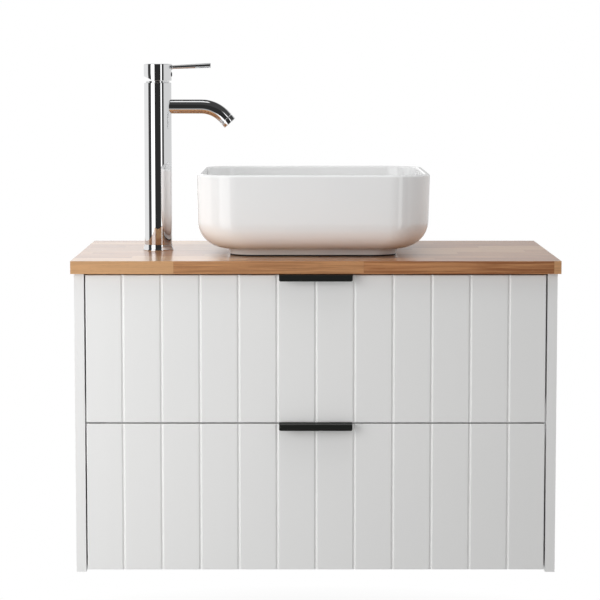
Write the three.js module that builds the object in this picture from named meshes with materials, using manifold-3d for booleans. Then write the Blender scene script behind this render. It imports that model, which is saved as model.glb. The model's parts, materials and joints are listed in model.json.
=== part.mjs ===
// A wall-hung bathroom vanity: a two-drawer cabinet with grooved fronts, an oak worktop, a square
// vessel basin with its waste and bottle trap, and a tall single-lever mixer tap beside the basin.
// Millimetres, +Z up, the front faces -Y and the wall is the plane Y = 0. The origin is the centre
// of the hanging rail's wall face.
import * as THREE from "three";
import { mergeVertices } from "three/addons/utils/BufferGeometryUtils.js";
import Module from "manifold-3d";

const wasm = await Module();
wasm.setup();

// ---------------------------------------------------------------- sizes

const GAP = 0.3; // between pieces that are held together but not drawn touching
const ROUND = 32; // facets round a large turned piece
const SMALL_ROUND = 16; // facets round a pin, a screw or a hole

const WORKTOP = { width: 800, depth: 460, thickness: 21, sideOverhang: 5, frontOverhang: 10 };
const CABINET = { height: 495, panel: 16, bottomInset: 6, stretcher: 80, lowerRail: 80 };
const RAIL = { height: 100, notchWidth: 34, notchHeight: 52 };
const HANGER = { width: 18, depth: 45, height: 36, hookSheet: 3, hookDrop: 14, hookMouth: 6 };

const FRONT = { thickness: 18, gap: 2.5, sideGap: 2.5, bottomRecess: 4 };
const GROOVE = { pitch: 63.25, width: 6, depth: 2, steps: 6 };
const HANDLE = { width: 120, sheet: 1.2, reach: 16, lip: 10.5, flange: 24, corner: 3 };

const DRAWER = {
  lift: 24, headroom: 79.5, rearSpace: 32, sideWidth: 14, sheet: 1.2, bottom: 10, bottomInset: 2,
  back: 16,
};
const RUNNER = { space: 13, sheet: 1.5, flange: 11.5, height: 46, play: 0.8, above: 40, setBack: 1 };
const BAY = { halfWidth: 75, wall: 3, reach: 70, corner: 25 };

const FIXTURES = { fromWall: 220, basinX: -4, tapClearOfBasin: 71.5 };

const BASIN = {
  width: 390, height: 135, corner: 70, rim: 9, rimEdge: 3, draft: 2, bottomRadius: 48,
  footHeight: 9.5, footInset: 55, footTaper: 3.5, footCorner: 42, footRing: 14, recess: 8,
  innerRadius: 40, innerDraft: 2, floor: 11.5, floorFall: 2.5,
};
const SEAL = { thickness: 2.5, width: 10, inset: 0.5 };

const WASTE = {
  tube: 20.9, bore: 17, wall: 3.9, below: 45, flange: 31, flangeHeight: 2.6, plug: 27,
  plugHeight: 6, stem: 5, bridge: 4,
};
const WASTE_NUT = { across: 31, height: 11, gasket: 3 };
const PIPE = { radius: 16, wall: 1.2, play: 1, socketWall: 4 };
const TRAP = {
  body: 28, wall: 2.5, above: 33, below: 40, neck: 20, neckHeight: 9, cupWall: 2.7, cupLap: 17,
  cupBelow: 25, dip: 45,
};
const ROSETTE = { radius: 32, thickness: 8, clearOfRail: 3 };

const TAP = {
  body: 23.5, top: 288, footWeb: 8, lugFrom: 2, web: 5, height: 320, bore: 20, worktopHole: 17.5,
  ringHeight: 10, ringFlare: 2.5, seal: 1,
};
const SPOUT = {
  axis: 247, radius: 12.5, wall: 2.5, straight: 74, bend: 55, angle: 48, tail: 4, aerator: 10,
};
const CARTRIDGE = {
  radius: 17.5, play: 0.7, top: 280, port: 4, outletX: 9, stemClear: 2.5,
  carrier: 13, carrierHeight: 6.5, stem: 8, stemTop: 309.7,
};
const NUT = { flange: 2.8, clearOfCap: 1 };
const CAP = {
  overhang: 0.5, wall: 2.5, clearOfNut: 0.6, roof: 14, reliefStart: 6, reliefSlope: 0.45, edge: 1,
};
const LEVER = {
  axis: 313.2, tilt: 2.6, root: 12.5, thread: 2.5, collar: 4.2, collarWidth: 1.8, thin: 3.2,
  thick: 4.2, end: 91.5,
};
const BUTTON = { height: 302, radius: 3.8, proud: 1.2, depth: 4 };
const STUD = { radius: 4, offset: 10, below: 42, nutAcross: 7.5, nutHeight: 6.5 };
const CLAMP = { radius: 24, sheet: 2.5, gasket: 2, slotFrom: 1, slotHalf: 14 };
const HOSE_INLET = { x: -6, y: 8 };

// ---------------------------------------------------------------- places that several pieces share

const zUnder = RAIL.height / 2; // underside of the worktop, on top of the cabinet
const zTop = zUnder + WORKTOP.thickness;
const zBottom = zUnder - CABINET.height;
const halfOuter = WORKTOP.width / 2 - WORKTOP.sideOverhang;
const halfInner = halfOuter - CABINET.panel;
const yFront = -(WORKTOP.depth - WORKTOP.frontOverhang);
const yFrontBack = yFront + FRONT.thickness;
const frontHeight = (CABINET.height - FRONT.bottomRecess - 2 * FRONT.gap) / 2;
const frontHalf = halfInner - FRONT.sideGap;
const drawerLength = -yFrontBack - DRAWER.rearSpace;
const sideHeight = frontHeight - DRAWER.lift - DRAWER.headroom;
const sideOuter = halfInner - RUNNER.space;
const sideInner = sideOuter - DRAWER.sideWidth;
const yFixtures = -FIXTURES.fromWall;
const basinX = FIXTURES.basinX;
const tapX = basinX - BASIN.width / 2 - FIXTURES.tapClearOfBasin;
const zBasin = zTop + SEAL.thickness;
const zDrain = zBasin + BASIN.recess + BASIN.floor;
const wasteBore = Math.max(WASTE.bore, PIPE.radius + PIPE.play); // the pipe slides up into it
const wasteTube = Math.max(WASTE.tube, wasteBore + WASTE.wall);
const drainHole = wasteTube + 1.6;
const zOutlet = -RAIL.height / 2 - ROSETTE.clearOfRail - ROSETTE.radius;
const zWasteEnd = zUnder - WASTE.below;
const chamberBore = CARTRIDGE.radius + CARTRIDGE.play;
const cartridgeFoot = SPOUT.axis + SPOUT.radius + 2.5;
const chamberFloor = SPOUT.axis - SPOUT.radius - 4.5;
const capRadius = TAP.body + CAP.overhang;
const capFoot = TAP.top + NUT.flange + CAP.clearOfNut;

// ---------------------------------------------------------------- materials

const finish = (color, roughness, metalness = 0) => new THREE.MeshStandardMaterial({ color,
  roughness, metalness });
const oak = finish(0xc49a6c, 0.5);
const whiteLacquer = finish(0xe4e4e2, 0.4);
const whiteBoard = finish(0xdcdcd8, 0.6);
const ceramic = finish(0xf2f2f0, 0.08);
const chrome = finish(0xd8dadc, 0.06, 1);
const blackMetal = finish(0x1c1d1c, 0.45, 0.3);
const greySteel = finish(0xa9acae, 0.4, 0.8);
const paintedSteel = finish(0xc9cbcc, 0.45, 0.3);
const rubber = finish(0x161616, 0.8);
const whitePlastic = finish(0xeeeeec, 0.35);
const greyPlastic = finish(0x8b8e90, 0.6);
const indexPlastic = finish(0x3a3d40, 0.35);

// ---------------------------------------------------------------- making solids

function toSolid(geometry) {
  const bare = geometry.clone();
  bare.deleteAttribute("normal");
  bare.deleteAttribute("uv");
  const merged = mergeVertices(bare, 1e-4);
  const index = merged.index.array;
  const kept = [];
  for (let i = 0; i < index.length; i += 3) {
    const [a, b, c] = [index[i], index[i + 1], index[i + 2]];
    if (a !== b && b !== c && a !== c) kept.push(a, b, c);
  }
  return new wasm.Manifold(
    new wasm.Mesh({ numProp: 3, vertProperties: merged.attributes.position.array,
      triVerts: new Uint32Array(kept) }),
  );
}

function toGeometry(solid) {
  const { vertProperties, triVerts } = solid.getMesh();
  const geometry = new THREE.BufferGeometry();
  geometry.setAttribute("position", new THREE.BufferAttribute(new Float32Array(vertProperties), 3));
  geometry.setIndex(new THREE.BufferAttribute(new Uint32Array(triVerts), 1));
  geometry.computeVertexNormals();
  return geometry;
}

const cut = (geometry, ...tools) =>
  toGeometry(tools.reduce((solid, tool) => solid.subtract(toSolid(tool)), toSolid(geometry)));
const join = (geometry, ...others) =>
  toGeometry(others.reduce((solid, other) => solid.add(toSolid(other)), toSolid(geometry)));
const common = (a, b) => toGeometry(toSolid(a).intersect(toSolid(b)));

const signedArea = (points) =>
  points.reduce((sum, [x, y], i) => {
    const [nx, ny] = points[(i + 1) % points.length];
    return sum + (x * ny - nx * y) / 2;
  }, 0);

// A box between [low, high] pairs along each axis.
function block([x0, x1], [y0, y1], [z0, z1]) {
  return new THREE.BoxGeometry(x1 - x0, y1 - y0, z1 - z0).translate((x0 + x1) / 2, (y0 + y1) / 2,
    (z0 + z1) / 2);
}

// A solid turned about Z from a closed loop of [radius, z] points; a loop may touch the axis.
function turned(loop, segments = ROUND) {
  const points = signedArea(loop) < 0 ? [...loop].reverse() : [...loop];
  const afterAxis = points.findIndex(([r], i) => r === 0 && points[(i + 1) % points.length][0] > 0);
  const profile =
    afterAxis < 0 ? [...points, points[0]] : [...points.slice(afterAxis), ...points.slice(0,
      afterAxis)];
  return new THREE.LatheGeometry(profile.map(([r, z]) => new THREE.Vector2(r, z)),
    segments).rotateX(Math.PI / 2);
}

const cylinder = (radius, z0, z1, segments = SMALL_ROUND) =>
  turned([[0, z0], [radius, z0], [radius, z1], [0, z1]], segments);
const ring = (inner, outer, z0, z1, segments = ROUND) =>
  turned([[inner, z0], [outer, z0], [outer, z1], [inner, z1]], segments);

// A prism along an axis. Its outline is [y, z] points along x, [x, z] along y and [x, y] along z.
const AXES = {
  x: [0, 1, 0, 0, 0, 1, 1, 0, 0], y: [0, 0, 1, 1, 0, 0, 0, 1, 0], z: [1, 0, 0, 0, 1, 0, 0, 0, 1],
};
function prism(axis, outline, low, high, holes = []) {
  const flat = ([a, b]) => (axis === "y" ? new THREE.Vector2(b, a) : new THREE.Vector2(a, b));
  const edge = outline.map(flat);
  if (THREE.ShapeUtils.isClockWise(edge)) edge.reverse();
  const shape = new THREE.Shape(edge);
  shape.holes = holes.map((hole) => new THREE.Path(hole.map(flat)));
  const geometry = new THREE.ExtrudeGeometry(shape, { depth: high - low, bevelEnabled: false });
  const [ux, uy, uz, vx, vy, vz, wx, wy, wz] = AXES[axis];
  const basis = new THREE.Matrix4().makeBasis(
    new THREE.Vector3(ux, uy, uz), new THREE.Vector3(vx, vy, vz), new THREE.Vector3(wx, wy, wz),
  );
  return geometry.translate(0, 0, low).applyMatrix4(basis);
}

// Points of an arc about [cx, cy], from one angle to another in degrees.
function arc(cx, cy, radius, from, to, steps) {
  return Array.from({ length: steps + 1 }, (_, i) => {
    const angle = THREE.MathUtils.degToRad(from + ((to - from) * i) / steps);
    return [cx + radius * Math.cos(angle), cy + radius * Math.sin(angle)];
  });
}

const CORNER_STEPS = 6;
// A square of this half width with round corners, as CORNER_STEPS + 1 points at each corner.
function roundedSquare(half, radius) {
  const c = half - radius;
  return [
    ...arc(c, c, radius, 0, 90, CORNER_STEPS), ...arc(-c, c, radius, 90, 180, CORNER_STEPS),
    ...arc(-c, -c, radius, 180, 270, CORNER_STEPS), ...arc(c, -c, radius, 270, 360, CORNER_STEPS),
  ];
}

// A skin through closed rings of as many points each, the last ring joined to the first.
function looped(rings) {
  const count = rings[0].length;
  const at = (ring, point) => (ring % rings.length) * count + (point % count);
  const index = [];
  rings.forEach((_, r) => {
    for (let p = 0; p < count; p++) {
      index.push(at(r, p), at(r, p + 1), at(r + 1, p + 1), at(r, p), at(r + 1, p + 1), at(r + 1, p));
    }
  });
  const geometry = new THREE.BufferGeometry();
  geometry.setAttribute("position", new THREE.Float32BufferAttribute(rings.flat(2), 3));
  geometry.setIndex(index);
  geometry.computeVertexNormals();
  return geometry;
}

function piece(name, geometry, material) {
  const mesh = new THREE.Mesh(geometry, material);
  mesh.name = name;
  return mesh;
}

function assembly(x, y, z, ...pieces) {
  const group = new THREE.Group();
  group.position.set(x, y, z);
  group.add(...pieces);
  return group;
}

// ---------------------------------------------------------------- worktop and cabinet

function worktop() {
  const slab = block([-WORKTOP.width / 2, WORKTOP.width / 2], [-WORKTOP.depth, 0], [zUnder, zTop]);
  const wasteHole = cylinder(wasteTube + 5, zUnder - 1, zTop + 1, ROUND).translate(basinX,
    yFixtures, 0);
  const tapHole = cylinder(TAP.worktopHole, zUnder - 1, zTop + 1, ROUND).translate(tapX, yFixtures, 0);
  return piece("worktop", cut(slab, wasteHole, tapHole), oak);
}

function hangingRail() {
  const shoulder = zUnder - RAIL.notchHeight;
  const half = halfInner - RAIL.notchWidth;
  const outline = [
    [-halfInner, -RAIL.height / 2], [halfInner, -RAIL.height / 2], [halfInner, shoulder], [half,
      shoulder],
    [half, zUnder], [-half, zUnder], [-half, shoulder], [-halfInner, shoulder],
  ];
  return piece("hanging_rail", prism("y", outline, -CABINET.panel, 0), whiteBoard);
}

// A steel bracket on the side panel whose hook drops over a plate on the wall.
function hanger(side) {
  const z0 = zUnder - HANGER.height - 10;
  const z1 = z0 + HANGER.height;
  const hookBack = -GAP;
  const hookFront = hookBack - HANGER.hookSheet;
  const bodyBack = hookFront - HANGER.hookMouth;
  const outline = [
    [-HANGER.depth, z0], [bodyBack, z0], [bodyBack, z1 - HANGER.hookSheet], [hookFront,
      z1 - HANGER.hookSheet],
    [hookFront, z1 - HANGER.hookDrop], [hookBack, z1 - HANGER.hookDrop], [hookBack, z1],
      [-HANGER.depth, z1],
  ];
  const x = side === "left" ? [-halfInner, -halfInner + HANGER.width] : [halfInner - HANGER.width,
    halfInner];
  return piece(`hanger_${side}`, prism("x", outline, ...x), greySteel);
}

function cabinet() {
  const floor = zBottom + CABINET.bottomInset;
  const floorTop = floor + CABINET.panel;
  const depth = [yFront, 0];
  const height = [zBottom, zUnder];
  const stretcherFront = yFrontBack + HANDLE.sheet + 2.8;
  return assembly(0, 0, 0,
    piece("side_panel_left", block([-halfOuter, -halfInner], depth, height), whiteLacquer),
    piece("side_panel_right", block([halfInner, halfOuter], depth, height), whiteLacquer),
    piece("bottom_panel", block([-halfInner, halfInner], [yFrontBack + 2, 0], [floor, floorTop]),
      whiteBoard),
    piece("front_stretcher",
      block([-halfInner, halfInner], [stretcherFront, stretcherFront + CABINET.stretcher],
        [zUnder - CABINET.panel, zUnder]),
      whiteBoard),
    piece("lower_back_rail",
      block([-halfInner, halfInner], [-CABINET.panel, 0], [floorTop, floorTop + CABINET.lowerRail]),
        whiteBoard),
    hangingRail(),
    hanger("left"),
    hanger("right"),
  );
}

// ---------------------------------------------------------------- drawers and runners

// The front's outline seen from above, with its round-bottomed grooves, and Y = 0 at its rear face.
function groovedOutline() {
  const count = Math.floor((2 * frontHalf) / GROOVE.pitch);
  const radius = (GROOVE.width ** 2 / 4 + GROOVE.depth ** 2) / (2 * GROOVE.depth);
  const open = THREE.MathUtils.radToDeg(Math.asin(GROOVE.width / 2 / radius));
  const grooves = Array.from({ length: count }, (_, i) => {
    const x = (i - (count - 1) / 2) * GROOVE.pitch;
    const centre = -FRONT.thickness + GROOVE.depth - radius;
    return arc(x, centre, radius, 90 + open, 90 - open, GROOVE.steps);
  });
  return [[-frontHalf, 0], [-frontHalf, -FRONT.thickness], ...grooves.flat(), [frontHalf,
    -FRONT.thickness], [frontHalf, 0]];
}

// A folded sheet over the front's top edge: a flange behind it, and a lip before it to pull.
function handleGeometry() {
  const { sheet, reach, lip, flange, corner, width } = HANDLE;
  const top = frontHeight + sheet;
  const nose = -FRONT.thickness - reach;
  const folded = prism("x", [
    [sheet, frontHeight - flange], [sheet, top], [nose, top], [nose, top - lip], [nose + sheet,
      top - lip],
    [nose + sheet, frontHeight], [0, frontHeight], [0, frontHeight - flange],
  ], -width / 2, width / 2);
  const c = width / 2 - corner;
  const ends = prism("y", [
    [-width / 2, top], ...arc(-c, top - lip + corner, corner, 180, 270, 4), ...arc(c,
      top - lip + corner, corner, 270, 360, 4),
    [width / 2, top],
  ], nose - 1, nose + sheet + 1);
  const behindLip = block([-width / 2, width / 2], [nose + sheet + 1, sheet], [frontHeight - flange,
    top]);
  return common(folded, join(ends, behindLip));
}

// A hollow steel side with the rib that runs in its slide, right-hand when mirror is 1.
function drawerSideGeometry(mirror) {
  const ribHalf = RUNNER.height / 2 - 2 * (RUNNER.sheet + RUNNER.play);
  const ribZ = DRAWER.lift + RUNNER.above;
  const ribX = halfInner - 2 * (RUNNER.sheet + RUNNER.play);
  const low = DRAWER.lift;
  const high = low + sideHeight;
  const flip = ([x, z]) => [mirror * x, z];
  const outline = [
    [sideInner, low], [sideOuter, low], [sideOuter, ribZ - ribHalf], [ribX, ribZ - ribHalf], [ribX,
      ribZ + ribHalf],
    [sideOuter, ribZ + ribHalf], [sideOuter, high], [sideInner, high],
  ];
  const s = DRAWER.sheet;
  const hollow = [
    [sideInner + s, low + s], [sideOuter - s, low + s], [sideOuter - s, high - s], [sideInner + s,
      high - s],
  ];
  return prism("y", outline.map(flip), 0, drawerLength, [hollow.map(flip)]);
}

// The edge of the trap's bay seen from above, from its left rear end round to its right rear end.
function bayEdge(half, front, corner) {
  return [
    [-half, drawerLength], ...arc(-half + corner, front + corner, corner, 180, 270, 5),
    ...arc(half - corner, front + corner, corner, 270, 360, 5), [half, drawerLength],
  ];
}

function drawer(level, z, hasBay) {
  const bayHalf = BAY.halfWidth + BAY.wall;
  const bayFront = yFixtures - yFrontBack - BAY.reach;
  const bottomZ = [DRAWER.lift + DRAWER.bottomInset, DRAWER.lift + DRAWER.bottomInset + DRAWER.bottom];
  const sideTop = DRAWER.lift + sideHeight;
  const backY = [drawerLength - DRAWER.back, drawerLength];
  const backZ = [bottomZ[1], sideTop];
  const outerEdge = bayEdge(bayHalf, bayFront - BAY.wall, BAY.corner);
  const innerEdge = bayEdge(BAY.halfWidth, bayFront, BAY.corner - BAY.wall);
  const floorEdge = [
    [sideInner, drawerLength], [sideInner, 0], [-sideInner, 0], [-sideInner, drawerLength],
      ...(hasBay ? outerEdge : []),
  ];
  const group = assembly(0, yFrontBack, z,
    piece(`${level}_drawer_front`, prism("z", groovedOutline(), 0, frontHeight), whiteLacquer),
    piece(`${level}_handle`, handleGeometry(), blackMetal),
    piece(`${level}_drawer_side_left`, drawerSideGeometry(-1), paintedSteel),
    piece(`${level}_drawer_side_right`, drawerSideGeometry(1), paintedSteel),
    piece(`${level}_drawer_bottom`, prism("z", floorEdge, ...bottomZ), whiteBoard),
  );
  if (!hasBay) {
    group.add(piece(`${level}_drawer_back`, block([-sideInner, sideInner], backY, backZ), whiteBoard));
    return group;
  }
  group.add(
    piece(`${level}_drawer_back_left`, block([-sideInner, -bayHalf], backY, backZ), whiteBoard),
    piece(`${level}_drawer_back_right`, block([bayHalf, sideInner], backY, backZ), whiteBoard),
    piece(`${level}_trap_bay`, prism("z", [...outerEdge, ...innerEdge.reverse()], bottomZ[0],
      sideTop), whitePlastic),
  );
  return group;
}

// A C-section rail along Y whose web is this far in from the side panel.
function railGeometry(webFrom, height, mirror) {
  const { sheet, flange } = RUNNER;
  const h = height / 2;
  const outline = [
    [webFrom, -h], [flange, -h], [flange, -h + sheet], [webFrom + sheet, -h + sheet],
    [webFrom + sheet, h - sheet], [flange, h - sheet], [flange, h], [webFrom, h],
  ];
  return prism("y", outline.map(([d, z]) => [mirror * (halfInner - d), z]), RUNNER.setBack,
    drawerLength);
}

function runners(level, zFront) {
  const nested = RUNNER.sheet + RUNNER.play;
  const pieces = [["left", -1], ["right", 1]].flatMap(([side, mirror]) => [
    piece(`${level}_${side}_cabinet_rail`, railGeometry(0, RUNNER.height, mirror), greySteel),
    piece(`${level}_${side}_sliding_rail`, railGeometry(nested, RUNNER.height - 2 * nested, mirror),
      greySteel),
  ]);
  return assembly(0, yFrontBack, zFront + DRAWER.lift + RUNNER.above, ...pieces);
}

// ---------------------------------------------------------------- basin

// One ring of the basin: a rounded square at this height.
const level = (half, corner, z) => roundedSquare(half, corner).map(([x, y]) => [x, y, z]);

// The round drain at this height, evenly spaced, with one point for each point of the squares.
const drain = (z) => {
  const count = 4 * (CORNER_STEPS + 1);
  const half = 180 / count;
  return arc(0, 0, drainHole, half, 360 + half, count).slice(0, -1).map(([x, y]) => [x, y, z]);
};

function basinGeometry() {
  const half = BASIN.width / 2;
  const foot = half - BASIN.footInset;
  const cornerAt = (w) =>
    BASIN.footCorner + ((BASIN.corner - BASIN.footCorner) * (w - foot)) / BASIN.footInset;
  const outer = (w, z) => level(w, cornerAt(w), z);
  const wallFoot = half - BASIN.draft;
  const outerCurve = arc(wallFoot - BASIN.bottomRadius, BASIN.footHeight + BASIN.bottomRadius,
    BASIN.bottomRadius, 270, 360, 6);
  const inner = half - BASIN.rim;
  const innerFoot = inner - BASIN.innerDraft;
  const floorZ = BASIN.recess + BASIN.floor + BASIN.floorFall;
  const innerCurve = arc(innerFoot - BASIN.innerRadius, floorZ + BASIN.innerRadius,
    BASIN.innerRadius, 360, 270, 5);
  const innerCorner = (w) => Math.max(BASIN.footCorner, BASIN.corner - BASIN.rim - (inner - w) / 4);
  const e = BASIN.rimEdge;
  const ringInner = foot - BASIN.footRing;
  const ringCorner = BASIN.footCorner - BASIN.footRing / 2;
  return looped([
    outer(foot, 0), outer(foot + BASIN.footTaper, BASIN.footHeight),
    ...outerCurve.map(([w, z]) => outer(w, z)),
    ...arc(half - e, BASIN.height - e, e, 0, 90, 3).map(([w, z]) => level(w, BASIN.corner + w - half,
      z)),
    ...arc(inner + e, BASIN.height - e, e, 90, 180, 3).map(([w, z]) => level(w,
      BASIN.corner + w - half, z)),
    ...innerCurve.map(([w, z]) => level(w, innerCorner(w), z)),
    drain(BASIN.recess + BASIN.floor), drain(BASIN.recess),
    level(ringInner - 2, ringCorner, BASIN.recess), level(ringInner, ringCorner, 0),
  ]);
}

function basin() {
  const sealOuter = BASIN.width / 2 - BASIN.footInset - SEAL.inset;
  const seal = prism("z",
    roundedSquare(sealOuter, BASIN.footCorner), -SEAL.thickness, 0,
    [roundedSquare(sealOuter - SEAL.width, BASIN.footCorner - SEAL.width)]);
  return assembly(basinX, yFixtures, zBasin,
    piece("basin", basinGeometry(), ceramic),
    piece("basin_seal", seal, rubber),
  );
}

// ---------------------------------------------------------------- waste and trap

function wasteFlangeGeometry() {
  const foot = zDrain + GAP;
  const top = foot + WASTE.flangeHeight;
  const body = turned([
    [wasteBore, zWasteEnd], [wasteTube, zWasteEnd], [wasteTube, foot], [WASTE.flange, foot],
    [WASTE.flange, foot + 1], [WASTE.flange - 3, top], [wasteBore + 2, top], [wasteBore, top - 2],
  ]);
  const bridgeZ = [foot - 24, foot - 24 + WASTE.bridge];
  const bridge = block([-wasteBore - 1, wasteBore + 1], [-WASTE.stem - 3, WASTE.stem + 3], bridgeZ);
  return cut(join(body, bridge), cylinder(WASTE.stem + GAP, bridgeZ[0] - 1, bridgeZ[1] + 1));
}

function plugGeometry() {
  const seat = zDrain + GAP + WASTE.flangeHeight + GAP;
  const top = seat + WASTE.plugHeight;
  return turned([
    [0, seat - 34], [WASTE.stem, seat - 34], [WASTE.stem, seat], [WASTE.plug, seat],
    [WASTE.plug, seat + 2], [WASTE.plug * 0.85, top - 1.5], [WASTE.plug * 0.5, top - 0.3], [0, top],
  ]);
}

function hexNut(across, height, hole) {
  const hexagon = new THREE.CylinderGeometry(across, across, height, 6);
  hexagon.rotateX(Math.PI / 2).translate(0, 0, height / 2);
  return cut(hexagon, cylinder(hole, -1, height + 1, ROUND));
}

function trapBodyGeometry() {
  const { body, wall, above, below, neckHeight } = TRAP;
  const bore = PIPE.radius + GAP;
  const neck = Math.max(TRAP.neck, PIPE.radius + PIPE.socketWall);
  const top = zOutlet + above;
  const neckTop = top + wall + neckHeight;
  const foot = zOutlet - below;
  const shell = turned([
    [body - wall, foot], [body, foot], [body, top + wall], [neck, top + wall],
    [neck, neckTop], [bore, neckTop], [bore, top], [body - wall, top],
  ]);
  const outlet = cylinder(bore, 0, body + 5, ROUND).rotateX(-Math.PI / 2);
  return cut(shell, outlet.translate(0, 0, zOutlet));
}

function wasteAndTrap() {
  const gasketZ = zUnder - WASTE_NUT.gasket;
  const nutInner = wasteTube + GAP;
  const pipeHole = PIPE.radius + GAP;
  const cupInner = TRAP.body + GAP;
  const cupOuter = cupInner + TRAP.cupWall;
  const cupFoot = zOutlet - TRAP.below - TRAP.cupBelow;
  const cupTop = zOutlet - TRAP.below + TRAP.cupLap;
  const rosetteFace = FIXTURES.fromWall - ROSETTE.thickness;
  const shelf = zWasteEnd - 0.6;
  const pipeStart = TRAP.body - TRAP.wall - 1;
  const along = (geometry) => geometry.rotateX(-Math.PI / 2).translate(0, 0, zOutlet);
  return assembly(basinX, yFixtures, 0,
    piece("waste_flange", wasteFlangeGeometry(), chrome),
    piece("waste_plug", plugGeometry(), chrome),
    piece("waste_gasket", ring(nutInner, WASTE_NUT.across - 1, gasketZ, zUnder), rubber),
    piece("waste_backnut", hexNut(WASTE_NUT.across, WASTE_NUT.height, nutInner).translate(0, 0,
      gasketZ - WASTE_NUT.height), chrome),
    piece("trap_slip_nut", turned([
      [pipeHole, shelf - 11], [nutInner + 4, shelf - 11], [nutInner + 4, shelf + 12],
      [nutInner, shelf + 12], [nutInner, shelf], [pipeHole, shelf],
    ]), chrome),
    piece("trap_tailpiece", ring(PIPE.radius - PIPE.wall, PIPE.radius, zOutlet - TRAP.dip,
      zWasteEnd + 15), chrome),
    piece("trap_body", trapBodyGeometry(), whitePlastic),
    piece("trap_cup", turned([
      [0, cupFoot], [cupOuter, cupFoot], [cupOuter, cupTop], [cupInner, cupTop],
      [cupInner, cupFoot + 3], [0, cupFoot + 3],
    ]), whitePlastic),
    piece("trap_outlet_pipe", along(ring(PIPE.radius - PIPE.wall, PIPE.radius, pipeStart,
      FIXTURES.fromWall)), whitePlastic),
    piece("wall_rosette", along(turned([
      [pipeHole, rosetteFace], [PIPE.radius + 3, rosetteFace],
      [ROSETTE.radius - 3, FIXTURES.fromWall - 3], [ROSETTE.radius, FIXTURES.fromWall],
      [pipeHole, FIXTURES.fromWall],
    ])), chrome),
  );
}

// ---------------------------------------------------------------- tap

// The spout's centre line in the XZ plane: straight out, a bend, and a short straight end.
class SpoutPath extends THREE.Curve {
  constructor(start, tail) {
    super();
    const turn = THREE.MathUtils.degToRad(SPOUT.angle);
    this.lengths = [SPOUT.straight - start, SPOUT.bend * turn, tail];
    this.start = start;
  }
  getPoint(t, target = new THREE.Vector3()) {
    const [straight, bend, tail] = this.lengths;
    const s = t * (straight + bend + tail);
    const angle = THREE.MathUtils.clamp((s - straight) / SPOUT.bend, 0, bend / SPOUT.bend);
    const before = Math.min(s, straight);
    const after = Math.max(s - straight - bend, 0);
    return target.set(
      this.start + before + SPOUT.bend * Math.sin(angle) + after * Math.cos(angle),
      0,
      SPOUT.axis - SPOUT.bend * (1 - Math.cos(angle)) - after * Math.sin(angle),
    );
  }
}

function circlePath(radius, segments) {
  return arc(0, 0, radius, 0, 360, segments).slice(0, -1).map(([x, y]) => new THREE.Vector2(x, y));
}

const SPOUT_STEPS = 12;
const SPOUT_FACETS = 24;
function spoutGeometry() {
  const section = new THREE.Shape(circlePath(SPOUT.radius, SPOUT_FACETS));
  section.holes = [new THREE.Path(circlePath(SPOUT.radius - SPOUT.wall, SPOUT_FACETS))];
  const path = new SpoutPath(chamberBore + 0.8, SPOUT.tail);
  return new THREE.ExtrudeGeometry(section, { steps: SPOUT_STEPS, extrudePath: path,
    bevelEnabled: false });
}

// Puts a piece turned about Z on the spout's mouth, with Z along the stream.
function atMouth(geometry) {
  const mouth = new SpoutPath(0, SPOUT.tail).getPoint(1);
  return geometry.rotateY(THREE.MathUtils.degToRad(90 + SPOUT.angle)).translate(mouth.x, mouth.y,
    mouth.z);
}

// Puts a piece turned about Z on the lever's axis, pointing out over the spout.
function alongLever(geometry) {
  return geometry.rotateY(THREE.MathUtils.degToRad(90 - LEVER.tilt)).translate(0, 0, LEVER.axis);
}

const acrossX = (geometry, z) => geometry.rotateY(Math.PI / 2).translate(0, 0, z);

// A hollow column: a lug in its foot for the stud, room beside it for the hoses, and a chamber whose
// risers lead from the hose sockets to the cartridge.
function tapBodyGeometry() {
  const foot = TAP.seal;
  const footTop = foot + TAP.footWeb;
  const inlets = [-HOSE_INLET.y, HOSE_INLET.y];
  const at = (geometry, y) => geometry.translate(HOSE_INLET.x, y, 0);
  const besideLug = block([-TAP.bore, TAP.lugFrom], [-TAP.bore, TAP.bore], [foot - 1, footTop + 1]);
  const shell = cut(
    turned([[0, foot], [TAP.body, foot], [TAP.body, TAP.top], [0, TAP.top]]),
    cylinder(TAP.bore, footTop, chamberFloor - TAP.web, ROUND),
    cylinder(chamberBore, chamberFloor, TAP.top + 1, ROUND),
    acrossX(cylinder(SPOUT.radius + GAP, CARTRIDGE.port, TAP.body + 5, SPOUT_FACETS), SPOUT.axis),
    cylinder(STUD.radius + GAP, foot - 1, footTop + 1).translate(STUD.offset, 0, 0),
    common(cylinder(TAP.worktopHole, foot - 1, footTop + 1, ROUND), besideLug),
  );
  const riser = (y) => at(cylinder(CARTRIDGE.port + 1.2, chamberFloor - 1, cartridgeFoot - GAP), y);
  const channel = (y) => at(cylinder(CARTRIDGE.port, chamberFloor - TAP.web - 1, cartridgeFoot + 1), y);
  return cut(join(shell, ...inlets.map(riser)), ...inlets.map(channel));
}

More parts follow.
